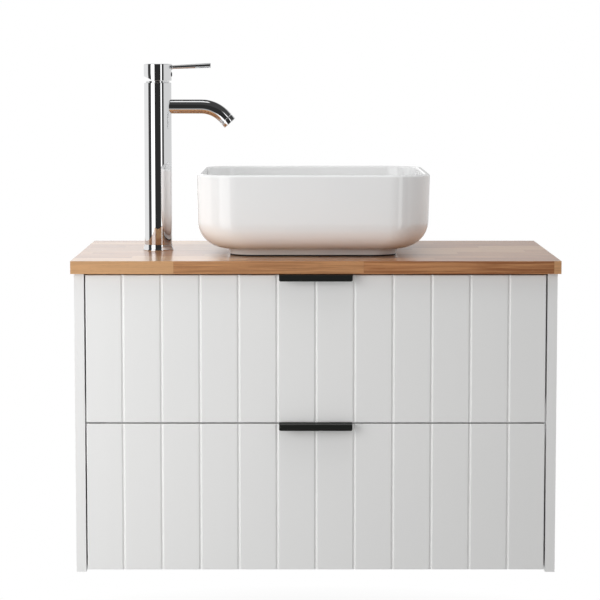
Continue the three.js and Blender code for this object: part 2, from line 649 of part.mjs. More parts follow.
function capGeometry() {
  const inner = capRadius - CAP.wall;
  const ceiling = TAP.height - CAP.roof;
  const shell = turned([
    [inner, capFoot], [capRadius, capFoot], [capRadius, TAP.height - CAP.edge],
      [capRadius - CAP.edge, TAP.height],
    [0, TAP.height], [0, ceiling], [inner, ceiling],
  ]);
  const far = capRadius + 2;
  const relief = prism("y", [
    [-CAP.reliefStart, capFoot - 1], [-CAP.reliefStart, capFoot],
    [-far, capFoot + CAP.reliefSlope * (far - CAP.reliefStart)], [-far, capFoot - 1],
  ], -far, far);
  const socket = CARTRIDGE.stem / 2 + GAP;
  return cut(shell, relief,
    block([-socket, socket], [-socket, socket], [ceiling - 1, CARTRIDGE.stemTop + GAP]),
    alongLever(cylinder(LEVER.thread + GAP, LEVER.root - 1, capRadius + 3)),
    acrossX(cylinder(BUTTON.radius + GAP, inner - 3, capRadius + 3), BUTTON.height),
  );
}

function leverGeometry() {
  const face = capRadius + GAP + LEVER.thick * Math.sin(THREE.MathUtils.degToRad(LEVER.tilt));
  const rod = face + LEVER.collarWidth;
  return alongLever(turned([
    [0, LEVER.root], [LEVER.thread, LEVER.root], [LEVER.thread, face], [LEVER.collar, face],
      [LEVER.collar, rod],
    [LEVER.thin, rod], [LEVER.thick, LEVER.end - 0.6], [LEVER.thick - 0.6, LEVER.end], [0, LEVER.end],
  ], SMALL_ROUND));
}

function handlePieces() {
  const inner = capRadius - CAP.wall;
  const s = CARTRIDGE.stem / 2;
  const button = turned([
    [0, capRadius + BUTTON.proud - BUTTON.depth], [BUTTON.radius,
      capRadius + BUTTON.proud - BUTTON.depth],
    [BUTTON.radius, capRadius + BUTTON.proud - 0.5], [BUTTON.radius - 0.5, capRadius + BUTTON.proud],
    [0, capRadius + BUTTON.proud],
  ], SMALL_ROUND);
  const stemFoot = CARTRIDGE.top + CARTRIDGE.stemClear;
  return [
    piece("tap_cap", capGeometry(), chrome),
    piece("tap_lever", leverGeometry(), chrome),
    piece("index_button", acrossX(button, BUTTON.height), indexPlastic),
    piece("cartridge_stem", block([-s, s], [-s, s], [stemFoot, CARTRIDGE.stemTop]), greySteel),
  ];
}

function cartridgePieces() {
  const nutBore = CARTRIDGE.carrier + GAP;
  const nutThread = chamberBore - 0.2;
  const nutFlange = capRadius - CAP.wall - NUT.clearOfCap;
  const nutFoot = CARTRIDGE.top + GAP;
  const carrierTop = nutFoot + CARTRIDGE.carrierHeight;
  const slot = CARTRIDGE.stem / 2 + 0.5;
  const ports = [[HOSE_INLET.x, -HOSE_INLET.y], [HOSE_INLET.x, HOSE_INLET.y], [CARTRIDGE.outletX, 0]];
  const port = ([x, y]) =>
    cylinder(CARTRIDGE.port, cartridgeFoot - 1, cartridgeFoot + 6).translate(x, y, 0);
  const body = cut(cylinder(CARTRIDGE.radius, cartridgeFoot, CARTRIDGE.top, ROUND), ...ports.map(port));
  const carrier = cut(
    cylinder(CARTRIDGE.carrier, nutFoot, carrierTop, ROUND),
    block([-2 * slot, 2 * slot], [-slot, slot], [nutFoot - 1, carrierTop + 1]),
  );
  const nut = turned([
    [nutBore, nutFoot], [nutThread, nutFoot], [nutThread, TAP.top], [nutFlange, TAP.top],
    [nutFlange, TAP.top + NUT.flange], [nutBore, TAP.top + NUT.flange],
  ]);
  return [
    piece("cartridge_body", body, greyPlastic),
    piece("cartridge_nut", nut, chrome),
    piece("cartridge_carrier", carrier, greyPlastic),
  ];
}

// A horseshoe plate that slips round the hoses under the worktop.
function horseshoe(z0, z1) {
  return cut(cylinder(CLAMP.radius, z0, z1, ROUND),
    block([-CLAMP.radius - 1, CLAMP.slotFrom], [-CLAMP.slotHalf, CLAMP.slotHalf], [z0 - 1, z1 + 1]),
    cylinder(STUD.radius + GAP, z0 - 1, z1 + 1).translate(STUD.offset, 0, 0));
}

function tapFixing() {
  const under = -WORKTOP.thickness;
  const plateTop = under - CLAMP.gasket;
  const plateFoot = plateTop - CLAMP.sheet;
  return [
    piece("tap_base_seal", ring(TAP.worktopHole + 1, TAP.body, 0, TAP.seal), rubber),
    piece("fixing_stud", cylinder(STUD.radius, under - STUD.below,
      TAP.footWeb).translate(STUD.offset, 0, 0), greySteel),
    piece("clamp_gasket", horseshoe(plateTop, under), rubber),
    piece("clamp_plate", horseshoe(plateFoot, plateTop), greySteel),
    piece("stud_nut",
      hexNut(STUD.nutAcross, STUD.nutHeight, STUD.radius + GAP).translate(STUD.offset, 0,
        plateFoot - STUD.nutHeight),
      greySteel),
  ];
}

function tap() {
  const ringInner = TAP.body + GAP;
  const ringOuter = TAP.body + TAP.ringFlare;
  const h = TAP.ringHeight;
  const baseRing = turned([
    [ringInner, 0], [ringOuter, 0], [ringOuter, h * 0.25], [ringInner + 1.2, h * 0.5],
      [ringInner + 0.7, h * 0.75],
    [ringInner + 0.6, h], [ringInner, h],
  ]);
  const bore = SPOUT.radius - SPOUT.wall;
  return assembly(tapX, yFixtures, zTop,
    piece("tap_body", tapBodyGeometry(), chrome),
    piece("tap_base_ring", baseRing, chrome),
    piece("tap_spout", spoutGeometry(), chrome),
    piece("aerator_housing", atMouth(ring(bore, SPOUT.radius, GAP, SPOUT.aerator)), chrome),
    piece("aerator_insert", atMouth(cylinder(bore - GAP, 2, SPOUT.aerator - 1, ROUND)), greyPlastic),
    ...handlePieces(),
    ...cartridgePieces(),
    ...tapFixing(),
  );
}

// ---------------------------------------------------------------- the vanity

const vanity = new THREE.Group();
const lowerFrontZ = zBottom + FRONT.bottomRecess;
const upperFrontZ = lowerFrontZ + frontHeight + FRONT.gap;
vanity.add(
  worktop(),
  cabinet(),
  drawer("upper", upperFrontZ, true),
  drawer("lower", lowerFrontZ, false),
  runners("upper", upperFrontZ),
  runners("lower", lowerFrontZ),
  basin(),
  wasteAndTrap(),
  tap(),
);

export default vanity;
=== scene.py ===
"""A wall-hung bathroom vanity with a square vessel basin and a tall lever tap, dressed for a studio picture.

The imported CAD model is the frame. Boards, rails and the small fittings inside the tap and under the worktop
keep their CAD solids, with eased edges and a material. The fronts, pulls, basin, trap and the tap's outside
are rebuilt here, finer, in the same place.
All lengths are metres in the CAD's frame: the wall is y = 0, the front faces -y and z is up.
"""

import json
import math

import bpy
from mathutils import Matrix, Vector


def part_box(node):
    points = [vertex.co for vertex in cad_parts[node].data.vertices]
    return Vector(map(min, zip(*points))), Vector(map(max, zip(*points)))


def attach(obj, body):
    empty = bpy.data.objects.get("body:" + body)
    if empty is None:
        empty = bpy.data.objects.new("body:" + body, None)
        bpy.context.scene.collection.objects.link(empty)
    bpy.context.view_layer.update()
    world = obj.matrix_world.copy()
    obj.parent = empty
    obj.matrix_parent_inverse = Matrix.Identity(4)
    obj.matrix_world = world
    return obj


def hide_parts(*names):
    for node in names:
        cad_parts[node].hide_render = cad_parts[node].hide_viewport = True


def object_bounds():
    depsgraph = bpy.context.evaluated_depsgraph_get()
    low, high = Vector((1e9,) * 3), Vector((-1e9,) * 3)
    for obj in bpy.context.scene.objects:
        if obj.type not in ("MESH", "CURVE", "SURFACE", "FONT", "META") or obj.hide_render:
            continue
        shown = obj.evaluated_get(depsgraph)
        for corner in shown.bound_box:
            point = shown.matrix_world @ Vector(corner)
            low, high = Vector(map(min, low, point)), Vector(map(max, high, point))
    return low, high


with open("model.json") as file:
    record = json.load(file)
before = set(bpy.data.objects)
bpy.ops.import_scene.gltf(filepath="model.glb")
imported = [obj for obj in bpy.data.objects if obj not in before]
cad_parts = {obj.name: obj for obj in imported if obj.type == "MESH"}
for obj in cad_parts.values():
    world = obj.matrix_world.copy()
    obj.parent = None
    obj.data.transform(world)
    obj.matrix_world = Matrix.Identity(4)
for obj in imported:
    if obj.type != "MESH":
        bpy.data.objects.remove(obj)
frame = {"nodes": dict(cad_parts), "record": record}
cad_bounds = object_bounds()
nodes = frame["nodes"]
record = frame["record"]
BODY_OF = {node: body for body, members in record["behaviour"]["bodies"].items() for node in members}
SLOT_OF = {part["node"]: part["material_slot"] for part in record["subparts"]}
MM = 0.001
DRAWERS = ("upper", "lower")


# ---- places in the frame

def low(node):
    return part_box(node)[0]


def high(node):
    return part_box(node)[1]


def centre(node):
    return (low(node) + high(node)) / 2


def half_width(node):
    return (high(node).x - low(node).x) / 2


def height_of(node):
    return high(node).z - low(node).z


# ---- camera

CAMERA_PLACE = Vector((-0.0258, -4.2832, 0.3824))
CAMERA_PITCH = math.radians(5.6)  # downwards
CAMERA_LENS = 141.4  # mm, on a sensor SENSOR mm wide
SENSOR = 36.0
CAMERA_REACH = 50


def make_camera():
    """A long lens in front of the basin, a little above the worktop and looking slightly down."""
    data = bpy.data.cameras.new("camera")
    data.sensor_width = SENSOR
    data.lens = CAMERA_LENS
    data.dof.use_dof = False
    data.clip_end = CAMERA_REACH
    camera = bpy.data.objects.new("camera", data)
    camera.location = CAMERA_PLACE
    camera.rotation_euler = (math.pi / 2 - CAMERA_PITCH, 0, 0)
    bpy.context.scene.collection.objects.link(camera)
    bpy.context.scene.camera = camera


make_camera()


# ---- node-based materials

class Nodes:
    """A node tree with short calls for its nodes and links."""

    def __init__(self, tree):
        self.tree = tree

    def set(self, made, socket, value):
        """Gives an input a link if value is a socket, or a constant."""
        if isinstance(value, bpy.types.NodeSocket):
            self.tree.links.new(value, made.inputs[socket])
        else:
            made.inputs[socket].default_value = value

    def node(self, kind, inputs=None, **settings):
        """A new node, with values for its inputs by number or name."""
        made = self.tree.nodes.new(kind)
        for name, value in settings.items():
            setattr(made, name, value)
        for socket, value in (inputs or {}).items():
            self.set(made, socket, value)
        return made

    def maths(self, operation, a, b=0.0, c=0.0):
        return self.node("ShaderNodeMath", {0: a, 1: b, 2: c}, operation=operation).outputs[0]

    def between(self, value, a, b, from_low=0.0, from_high=1.0):
        """value, taken from its own range to the range from a to b."""
        return self.node("ShaderNodeMapRange", {0: value, 1: from_low, 2: from_high, 3: a, 4: b}).outputs[0]

    def blended(self, share, first, second):
        """The first number where share is 0 and the second where it is 1."""
        return self.node("ShaderNodeMix", {0: share, 2: first, 3: second}, data_type="FLOAT").outputs[0]

    def mixed_shaders(self, share, first, second):
        """The first shader where share is 0 and the second where it is 1."""
        return self.node("ShaderNodeMixShader", {0: share, 1: first, 2: second}).outputs[0]


class Shader(Nodes):
    """A Principled material with short calls for the nodes that give it its grain."""

    def __init__(self, name, color, roughness, metallic=0.0):
        self.material = bpy.data.materials.new(name)
        self.material.use_nodes = True
        super().__init__(self.material.node_tree)
        self.bsdf = self.tree.nodes["Principled BSDF"]
        self.to("Base Color", (*color, 1))
        self.to("Roughness", roughness)
        self.to("Metallic", metallic)
        self.place = self.node("ShaderNodeTexCoord").outputs["Object"]

    def to(self, socket, value):
        self.set(self.bsdf, socket, value)

    def scaled(self, factors, place=None):
        """The object coordinates, or another vector, multiplied by three factors."""
        inputs = {0: place or self.place, 1: factors}
        return self.node("ShaderNodeVectorMath", inputs, operation="MULTIPLY").outputs[0]

    def noise(self, place, scale=1.0, detail=2.0, distortion=0.0):
        inputs = {"Vector": place, "Scale": scale, "Detail": detail, "Distortion": distortion}
        return self.node("ShaderNodeTexNoise", inputs).outputs["Fac"]

    def mix(self, factor, a, b):
        """Colour a where factor is 0 and colour b where it is 1."""
        inputs = {0: factor, 6: a if isinstance(a, bpy.types.NodeSocket) else (*a, 1), 7: (*b, 1)}
        return self.node("ShaderNodeMix", inputs, data_type="RGBA").outputs[2]

    def colour(self, factor, a, b):
        self.to("Base Color", self.mix(factor, a, b))

    def roughness(self, value, smoothest, roughest):
        self.to("Roughness", self.between(value, smoothest, roughest))

    def relief(self, height, strength, distance):
        inputs = {"Height": height, "Strength": strength, "Distance": distance}
        self.to("Normal", self.node("ShaderNodeBump", inputs).outputs["Normal"])


def lacquer():
    """Sprayed white lacquer: the faint orange peel of a roller or gun, over an even satin."""
    shader = Shader("white_lacquer", (0.86, 0.86, 0.85), 0.38)
    peel = shader.noise(shader.place, 420, detail=1)
    drift = shader.noise(shader.place, 3)
    shader.colour(drift, (0.875, 0.873, 0.862), (0.85, 0.85, 0.845))
    shader.roughness(peel, 0.34, 0.42)
    shader.relief(peel, 0.10, 0.15 * MM)
    return shader.material


def melamine():
    """White faced board: a fine pearled print that dulls its shine."""
    shader = Shader("white_board", (0.8, 0.8, 0.785), 0.55)
    pearl = shader.noise(shader.place, 900, detail=3)
    shader.colour(pearl, (0.80, 0.80, 0.785), (0.84, 0.84, 0.83))
    shader.relief(pearl, 0.25, 0.1 * MM)
    return shader.material


STAVE_WIDTH = 0.044
STAVE_LENGTH = 0.31
ROW_SHIFT = 0.0005  # keeps the joint between two rows off the worktop's back face
STAGGER = 0.618  # share of a stave's length between the joints of neighbouring rows
FIRST_JOINT = 0.546
FIRST_TINT = 0.964
TINT_PER_ROW = 0.37
TINT_PER_STAVE = 0.618
JOINT_LINE = 0.006  # share of a stave's width that its glue line takes
RING_SCALE = (7.0, 150.0, 260.0)
FIBRE_SCALE = (14.0, 900.0, 900.0)
PORE_SCALE = (70.0, 2400.0, 2400.0)
FLECK_SCALE = (160.0, 60.0, 900.0)
OAK = {
    "early": (0.61, 0.287, 0.121), "late": (0.34, 0.128, 0.045), "fibre": (0.27, 0.11, 0.042),
    "pale": (0.70, 0.42, 0.21), "fleck": (0.70, 0.47, 0.27), "pore": (0.16, 0.075, 0.03),
    "glue": (0.14, 0.06, 0.025),
}


def stave_places(shader):
    """The place counted in staves across and along the board. Whole numbers are the joints."""
    x, y, _ = shader.node("ShaderNodeSeparateXYZ", {0: shader.place}).outputs
    across = shader.maths("DIVIDE", shader.maths("ADD", y, ROW_SHIFT), STAVE_WIDTH)
    row = shader.maths("FLOOR", across)
    stagger = shader.maths("MULTIPLY_ADD", row, STAGGER, FIRST_JOINT)
    along = shader.maths("ADD", shader.maths("DIVIDE", x, STAVE_LENGTH), stagger)
    return across, along


def stave_tint(shader, row, stave):
    """From 0 to 1, the same all over one stave and mostly low, so that few staves are pale."""
    by_stave = shader.maths("MULTIPLY_ADD", stave, TINT_PER_STAVE, FIRST_TINT)
    by_row = shader.maths("MULTIPLY_ADD", row, TINT_PER_ROW, by_stave)
    return shader.maths("POWER", shader.maths("FRACT", by_row), 2.0)


def stave_grain_place(shader, row, stave):
    """The place moved by a random step for each stave, so that no grain runs on into the next one."""
    pair = shader.node("ShaderNodeCombineXYZ", {0: row, 1: stave}).outputs[0]
    step = shader.node("ShaderNodeTexWhiteNoise", {"Vector": pair}, noise_dimensions="2D").outputs["Color"]
    return shader.node("ShaderNodeVectorMath", {0: shader.place, 1: step}, operation="ADD").outputs[0]


def glue_lines(shader, across, along):
    """1 on the joints between staves and 0 elsewhere."""
    def near_whole(place, width):
        share = shader.maths("ABSOLUTE", shader.maths("SUBTRACT", shader.maths("FRACT", place), 0.5))
        return shader.between(share, 0.0, 1.0, 0.5 - width, 0.5)

    return shader.maths("MAXIMUM", near_whole(across, JOINT_LINE),
                        near_whole(along, JOINT_LINE * STAVE_WIDTH / STAVE_LENGTH))


def oak():
    """Finger-jointed oak staves: each its own tint and grain, open pores, and a thin line at each joint."""
    shader = Shader("oak", OAK["early"], 0.36)
    across, along = stave_places(shader)
    row = shader.maths("FLOOR", across)
    stave = shader.maths("FLOOR", along)
    tint = stave_tint(shader, row, stave)
    moved = stave_grain_place(shader, row, stave)
    rings = shader.noise(shader.scaled(RING_SCALE, moved), detail=3, distortion=0.6)
    fibre = shader.noise(shader.scaled(FIBRE_SCALE, moved), detail=4)
    pores = shader.between(shader.noise(shader.scaled(PORE_SCALE), detail=1), 0.0, 1.0, 0.62, 0.75)
    flecks = shader.between(shader.noise(shader.scaled(FLECK_SCALE, moved), detail=1), 0.0, 1.0, 0.66, 0.8)

    wood = shader.mix(shader.between(rings, 0.0, 1.0, 0.39, 0.61), OAK["early"], OAK["late"])
    wood = shader.mix(shader.between(fibre, 0.0, 0.55, 0.35, 0.75), wood, OAK["fibre"])
    wood = shader.mix(shader.between(tint, 0.0, 0.80, 0.1, 1.0), wood, OAK["pale"])
    wood = shader.mix(shader.maths("MULTIPLY", flecks, 0.25), wood, OAK["fleck"])
    wood = shader.mix(shader.maths("MULTIPLY", pores, 0.5), wood, OAK["pore"])
    wood = shader.mix(shader.maths("MULTIPLY", glue_lines(shader, across, along), 0.45), wood, OAK["glue"])
    shader.to("Base Color", wood)
    shader.roughness(fibre, 0.27, 0.40)
    shader.relief(shader.maths("SUBTRACT", shader.maths("MULTIPLY", fibre, 0.4), pores), 0.12, 0.1 * MM)
    shader.to("Coat Weight", 0.6)
    shader.to("Coat Roughness", 0.16)
    return shader.material


def glaze():
    """Thick white glaze: deep gloss with the slow ripple of a fired surface."""
    shader = Shader("ceramic", (0.88, 0.88, 0.875), 0.06)
    ripple = shader.noise(shader.place, 16, detail=1)
    shader.roughness(shader.noise(shader.place, 60), 0.045, 0.085)
    shader.colour(ripple, (0.915, 0.917, 0.915), (0.90, 0.903, 0.903))
    shader.relief(ripple, 0.05, 1.5 * MM)
    shader.to("Coat Weight", 0.4)
    shader.to("Coat Roughness", 0.03)
    return shader.material


def plated():
    """Bright chrome: nearly a mirror, a little uneven from its polishing."""
    shader = Shader("chrome", (0.86, 0.865, 0.87), 0.05, 1.0)
    haze = shader.noise(shader.place, 130, detail=3)
    shader.roughness(haze, 0.012, 0.03)
    shader.colour(haze, (0.87, 0.875, 0.88), (0.83, 0.835, 0.845))
    shader.relief(shader.noise(shader.place, 9, detail=0), 0.01, 0.2 * MM)
    return shader.material


def zinc():
    """Zinc-plated steel, rolled along its length."""
    shader = Shader("steel", (0.52, 0.53, 0.54), 0.34, 0.9)
    rolled = shader.noise(shader.scaled((1400.0, 12.0, 1400.0)), detail=2)
    cloud = shader.noise(shader.place, 35)
    shader.colour(cloud, (0.50, 0.51, 0.52), (0.60, 0.61, 0.62))
    shader.roughness(rolled, 0.25, 0.45)
    shader.relief(rolled, 0.1, 0.05 * MM)
    return shader.material


def grained(name, scale, pale, deep, smoothest, roughest, strength, distance):
    """A matt surface whose one fine grain shows in its colour, its gloss and its relief."""
    shader = Shader(name, pale, roughest)
    grain = shader.noise(shader.place, scale)
    shader.colour(grain, pale, deep)
    shader.roughness(grain, smoothest, roughest)
    shader.relief(grain, strength, distance)
    return shader


def powder_coat():
    """Matt black powder coat with its fine leather texture, a little paler on its grain."""
    shader = grained("black_metal", 1500, (0.006, 0.007, 0.006), (0.016, 0.017, 0.016),
                     0.36, 0.50, 0.35, 0.08 * MM)
    shader.to("Specular IOR Level", 0.3)
    return shader.material


def grained_paint():
    """Pale grey stoved paint on the drawer's steel sides."""
    return grained("painted_steel", 1100, (0.58, 0.59, 0.60), (0.63, 0.64, 0.65),
                   0.40, 0.52, 0.25, 0.06 * MM).material


def moulded(name, pale, deep, roughness):
    """Moulded plastic or rubber: a fine spark-eroded grain and a slow drift of colour."""
    shader = Shader(name, pale, roughness)
    grain = shader.noise(shader.place, 800)
    shader.colour(shader.noise(shader.place, 22), pale, deep)
    shader.roughness(grain, roughness * 0.85, min(1.0, roughness * 1.2))
    shader.relief(grain, 0.15, 0.08 * MM)
    return shader.material


MATERIALS = {
    "oak": oak(),
    "white_lacquer": lacquer(),
    "white_board": melamine(),
    "steel": zinc(),
    "black_metal": powder_coat(),
    "painted_steel": grained_paint(),
    "white_plastic": moulded("white_plastic", (0.84, 0.84, 0.82), (0.80, 0.80, 0.79), 0.35),
    "ceramic": glaze(),
    "rubber": moulded("rubber", (0.012, 0.012, 0.012), (0.02, 0.02, 0.02), 0.7),
    "chrome": plated(),
    "grey_plastic": moulded("grey_plastic", (0.24, 0.25, 0.26), (0.20, 0.21, 0.22), 0.5),
    "index_plastic": moulded("index_plastic", (0.03, 0.034, 0.04), (0.045, 0.05, 0.055), 0.3),
}


# ---- building meshes

def arc(cx, cy, radius, start, end, steps):
    """Points of an arc about (cx, cy), angles in degrees."""
    angles = [math.radians(start + (end - start) * i / steps) for i in range(steps + 1)]
    return [(cx + radius * math.cos(a), cy + radius * math.sin(a)) for a in angles]


NEARLY_STRAIGHT = math.radians(178)  # a corner wider than this is left as it is
FILLET_SHARE = 0.49  # the most that a fillet takes of the shorter side at its corner


def filleted(points, steps=4):
    """A closed outline whose corners are (x, y, radius), with each corner rounded to its radius."""
    out = []
    count = len(points)
    for i, (x, y, radius) in enumerate(points):
        here = Vector((x, y))
        before = Vector(points[i - 1][:2]) - here
        after = Vector(points[(i + 1) % count][:2]) - here
        turn = before.angle(after, math.pi)
        if radius <= 0 or turn > NEARLY_STRAIGHT:
            out.append((x, y))
            continue
        longest = FILLET_SHARE * min(before.length, after.length)
        reach = min(radius / math.tan(turn / 2), longest)
        start = here + before.normalized() * reach
        end = here + after.normalized() * reach
        for k in range(steps + 1):
            t = k / steps
            point = start * (1 - t) ** 2 + here * 2 * t * (1 - t) + end * t ** 2
            out.append((point.x, point.y))
    return out


SHARP = 35  # degrees; shading stays sharp over edges steeper than this


def smooth(made, angle=SHARP):
    """Smooth shading that stays sharp over edges steeper than angle, in degrees."""
    mesh = made.data
    mesh.polygons.foreach_set("use_smooth", [True] * len(mesh.polygons))
    mesh.set_sharp_from_angle(angle=math.radians(angle))


def new_object(name, vertices, faces, smooth_angle=SHARP):
    mesh = bpy.data.meshes.new(name)
    mesh.from_pydata([tuple(v) for v in vertices], [], faces)
    mesh.validate()
    mesh.update()
    made = bpy.data.objects.new(name, mesh)
    bpy.context.scene.collection.objects.link(made)
    smooth(made, smooth_angle)
    return made


def skin(name, node, rings, capped=False, smooth_angle=SHARP):
    """A mesh through rings of as many points each, which stands for a CAD node.

    It is capped at both ends, or else runs on from the last ring to the first.
    """
    count = len(rings[0])
    last = len(rings) - 1 if capped else len(rings)
    faces = []
    for r in range(last):
        here, after = r * count, (r + 1) % len(rings) * count
        for p in range(count):
            q = (p + 1) % count
            faces.append((here + p, here + q, after + q, after + p))
    if capped:
        faces.append(tuple(reversed(range(count))))
        faces.append(tuple(range((len(rings) - 1) * count, len(rings) * count)))
    stand_for(new_object(name, [p for ring in rings for p in ring], faces, smooth_angle), node)


TURNED_SEGMENTS = 96
ON_AXIS = 1e-7  # a point closer to the axis than this is one vertex on it


def counter_clockwise(outline):
    """The outline in the order that makes the faces turned from it look outwards."""
    area = sum(x0 * y1 - x1 * y0 for (x0, y0), (x1, y1) in zip(outline, outline[1:] + outline[:1]))
    return outline if area > 0 else outline[::-1]


def turned(name, node, profile, place, segments=TURNED_SEGMENTS, wobble=None):
    """A closed outline of (radius, z, fillet) turned about the z of place, which stands for a CAD node.

    wobble(angle, radius, z) may give another radius and z.
    """
    vertices, index = [], []
    for radius, z in counter_clockwise(filleted(profile)):
        start = len(vertices)
        if radius < ON_AXIS:
            vertices.append(place @ Vector((0, 0, z)))
            index.append([start] * segments)
            continue
        for s in range(segments):
            angle = 2 * math.pi * s / segments
            r, height = wobble(angle, radius, z) if wobble else (radius, z)
            vertices.append(place @ Vector((r * math.cos(angle), r * math.sin(angle), height)))
        index.append(list(range(start, start + segments)))
    faces = []
    for a, b in zip(index, index[1:] + index[:1]):
        for s in range(segments):
            t = (s + 1) % segments
            face = list(dict.fromkeys((a[s], a[t], b[t], b[s])))
            if len(face) > 2:
                faces.append(face)
    stand_for(new_object(name, vertices, faces), node)


def coat(made, slot):
    """Gives a piece the material of its slot."""
    made.data.materials.clear()
    made.data.materials.append(MATERIALS[slot])


def stand_for(made, node):
    """made takes the place of a CAD node, which is hidden: it joins the node's body and gets the material of
    the node's slot.
    """
    coat(made, SLOT_OF[node])
    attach(made, BODY_OF[node])
    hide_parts(node)


def added(made, body, slot):
    """A detail with no CAD node of its own, such as a screw head."""
    coat(made, slot)
    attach(made, body)


EASE_SEGMENTS = 3
EASE_ANGLE = math.radians(40)  # edges flatter than this are not eased


def ease(made, width):
    """Rounds the sharp edges of a piece without touching its own mesh."""
    bevel = made.modifiers.new("eased", "BEVEL")
    bevel.width = width
    bevel.segments = EASE_SEGMENTS
    bevel.limit_method = "ANGLE"
    bevel.angle_limit = EASE_ANGLE
    bevel.harden_normals = True


def dress(node, eased):
    """A CAD solid that stays: its slot's material and eased edges."""
    made = nodes[node]
    coat(made, SLOT_OF[node])
    smooth(made)
    ease(made, eased)


# ---- drawer fronts and handles

GROOVES = 11
GROOVE_PITCH = 0.06325
GROOVE_HALF = 3.0 * MM
GROOVE_DEPTH = 2.0 * MM
GROOVE_STEPS = 12
FRONT_EDGE = 1.2 * MM
EDGE_STEPS = 4
FRONT_SMOOTH = 50  # degrees; keeps the grooves and the eased edges smooth
LOOP = 0.5 * MM  # a loop of points this far from a rounded edge keeps the face beside it flat


def groove_points(x, face):
    """Across a groove centred at x: a loop on the flat face, the soft valley, and the other loop."""
    points = [(x - GROOVE_HALF - LOOP, face)]
    for k in range(GROOVE_STEPS + 1):
        t = 2 * k / GROOVE_STEPS - 1
        depth = GROOVE_DEPTH * (0.5 + 0.5 * math.cos(math.pi * t)) ** 0.8
        points.append((x + t * GROOVE_HALF, face + depth))
    return points + [(x + GROOVE_HALF + LOOP, face)]


def grooved_outline(a, b):
    """The front seen from above: round corners, a flat back and a grooved face."""
    edge = FRONT_EDGE
    outline = arc(a.x + edge, b.y - edge, edge, 90, 180, EDGE_STEPS)
    outline += [(a.x, b.y - edge - LOOP), (a.x, a.y + edge + LOOP)]
    outline += arc(a.x + edge, a.y + edge, edge, 180, 270, EDGE_STEPS) + [(a.x + edge + LOOP, a.y)]
    for i in range(GROOVES):
        outline += groove_points((i - (GROOVES - 1) / 2) * GROOVE_PITCH, a.y)
    outline += [(b.x - edge - LOOP, a.y)] + arc(b.x - edge, a.y + edge, edge, 270, 360, EDGE_STEPS)
    outline += [(b.x, a.y + edge + LOOP), (b.x, b.y - edge - LOOP)]
    return outline + arc(b.x - edge, b.y - edge, edge, 0, 90, EDGE_STEPS)


def eased_levels(a, b):
    """Heights from bottom to top, each with how far the outline shrinks to round the edge."""
    angles = [math.pi / 2 * i / EDGE_STEPS for i in range(EDGE_STEPS + 1)]
    rise = [(FRONT_EDGE * (1 - math.cos(t)), FRONT_EDGE * (1 - math.sin(t))) for t in angles]
    rise.append((FRONT_EDGE + LOOP, 0))
    return ([(a.z + up, shrink) for up, shrink in rise]
            + [(b.z - up, shrink) for up, shrink in reversed(rise)])


def clamped(value, margin, a, b):
    return min(max(value, a + margin), b - margin)


def drawer_front(node):
    """A slab whose face has grooves with a rounded valley between flat planks."""
    a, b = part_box(node)
    outline = grooved_outline(a, b)
    rings = [[(clamped(x, shrink, a.x, b.x), clamped(y, shrink, a.y, b.y), z) for x, y in outline]
             for z, shrink in eased_levels(a, b)]
    skin(node + "_shaped", node, rings, capped=True, smooth_angle=FRONT_SMOOTH)


HANDLE_SHEET = 1.2 * MM
HANDLE_BEND = 1.0 * MM
FLANGE_EDGE = 0.4 * MM
LIP_EDGE = 0.5 * MM
LIP_HEIGHT = 10.5 * MM
LIP_CORNER = 3.0 * MM
HANDLE_STATIONS = 24


def handle_section(a, b, lift):
    """The folded profile as (y, z), its lip and its flange shortened by lift."""
    sheet, bend = HANDLE_SHEET, HANDLE_BEND
    top, nose, back = b.z, a.y, b.y
    lip_foot = top - LIP_HEIGHT + lift
    flange_foot = a.z + lift
    return filleted([
        (back, flange_foot, FLANGE_EDGE), (back, top, bend + sheet), (nose, top, bend + sheet),
        (nose, lip_foot, LIP_EDGE), (nose + sheet, lip_foot, LIP_EDGE), (nose + sheet, top - sheet, bend),
        (back - sheet, top - sheet, bend), (back - sheet, flange_foot, FLANGE_EDGE),
    ], 5)


def handle(node):
    """A folded edge pull: a flange behind the front, a plate over its edge and a lip with round corners."""
    a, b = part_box(node)
    rings = []
    for i in range(HANDLE_STATIONS + 1):
        side = -1 if i <= HANDLE_STATIONS / 2 else 1
        angle = math.pi * min(i, HANDLE_STATIONS - i) / HANDLE_STATIONS
        x = side * (half_width(node) - LIP_CORNER * (1 - math.cos(angle)))
        lift = LIP_CORNER * (1 - math.sin(angle))
        rings.append([(x, y, z) for y, z in handle_section(a, b, lift)])
    skin(node + "_folded", node, rings, capped=True)


# ---- basin

BASIN_CORNER = 0.070
BASIN_RIM = 0.009
RIM_EDGE = 0.0035
BOTTOM_RADIUS = 0.048
WALL_DRAFT = 0.002
FOOT_INSET = 0.055
FOOT_HEIGHT = 0.0095
FOOT_TAPER = 0.0035
FOOT_CORNER = 0.042
FOOT_RING = 0.014
UNDER_RECESS = 0.008
BOWL_RADIUS = 0.040
FLOOR_THICKNESS = 0.0115
FLOOR_FALL = 0.0025
DRAIN_HOLE = 0.0225
DRAIN_EDGE = 0.0012
RIM_STEPS = 8
WALL_SHARES = (0.02, 0.5, 0.98)  # heights of the rings on the wall, as shares of its height
FLOOR_SHARES = (0.25, 0.5, 0.75, 0.9)  # places of the rings from the floor's edge to the drain
CORNER_STEPS = 28
BASIN_HALF = half_width("basin")
FOOT_HALF = BASIN_HALF - FOOT_INSET
INNER_HALF = BASIN_HALF - BASIN_RIM
BOWL_HALF = INNER_HALF - WALL_DRAFT
BOWL_FLOOR = UNDER_RECESS + FLOOR_THICKNESS + FLOOR_FALL  # height of the floor's edge
SIDE_SHARES = (0.006, 0.1, 0.25, 0.5, 0.75, 0.9, 0.994)  # points along a side between two corners


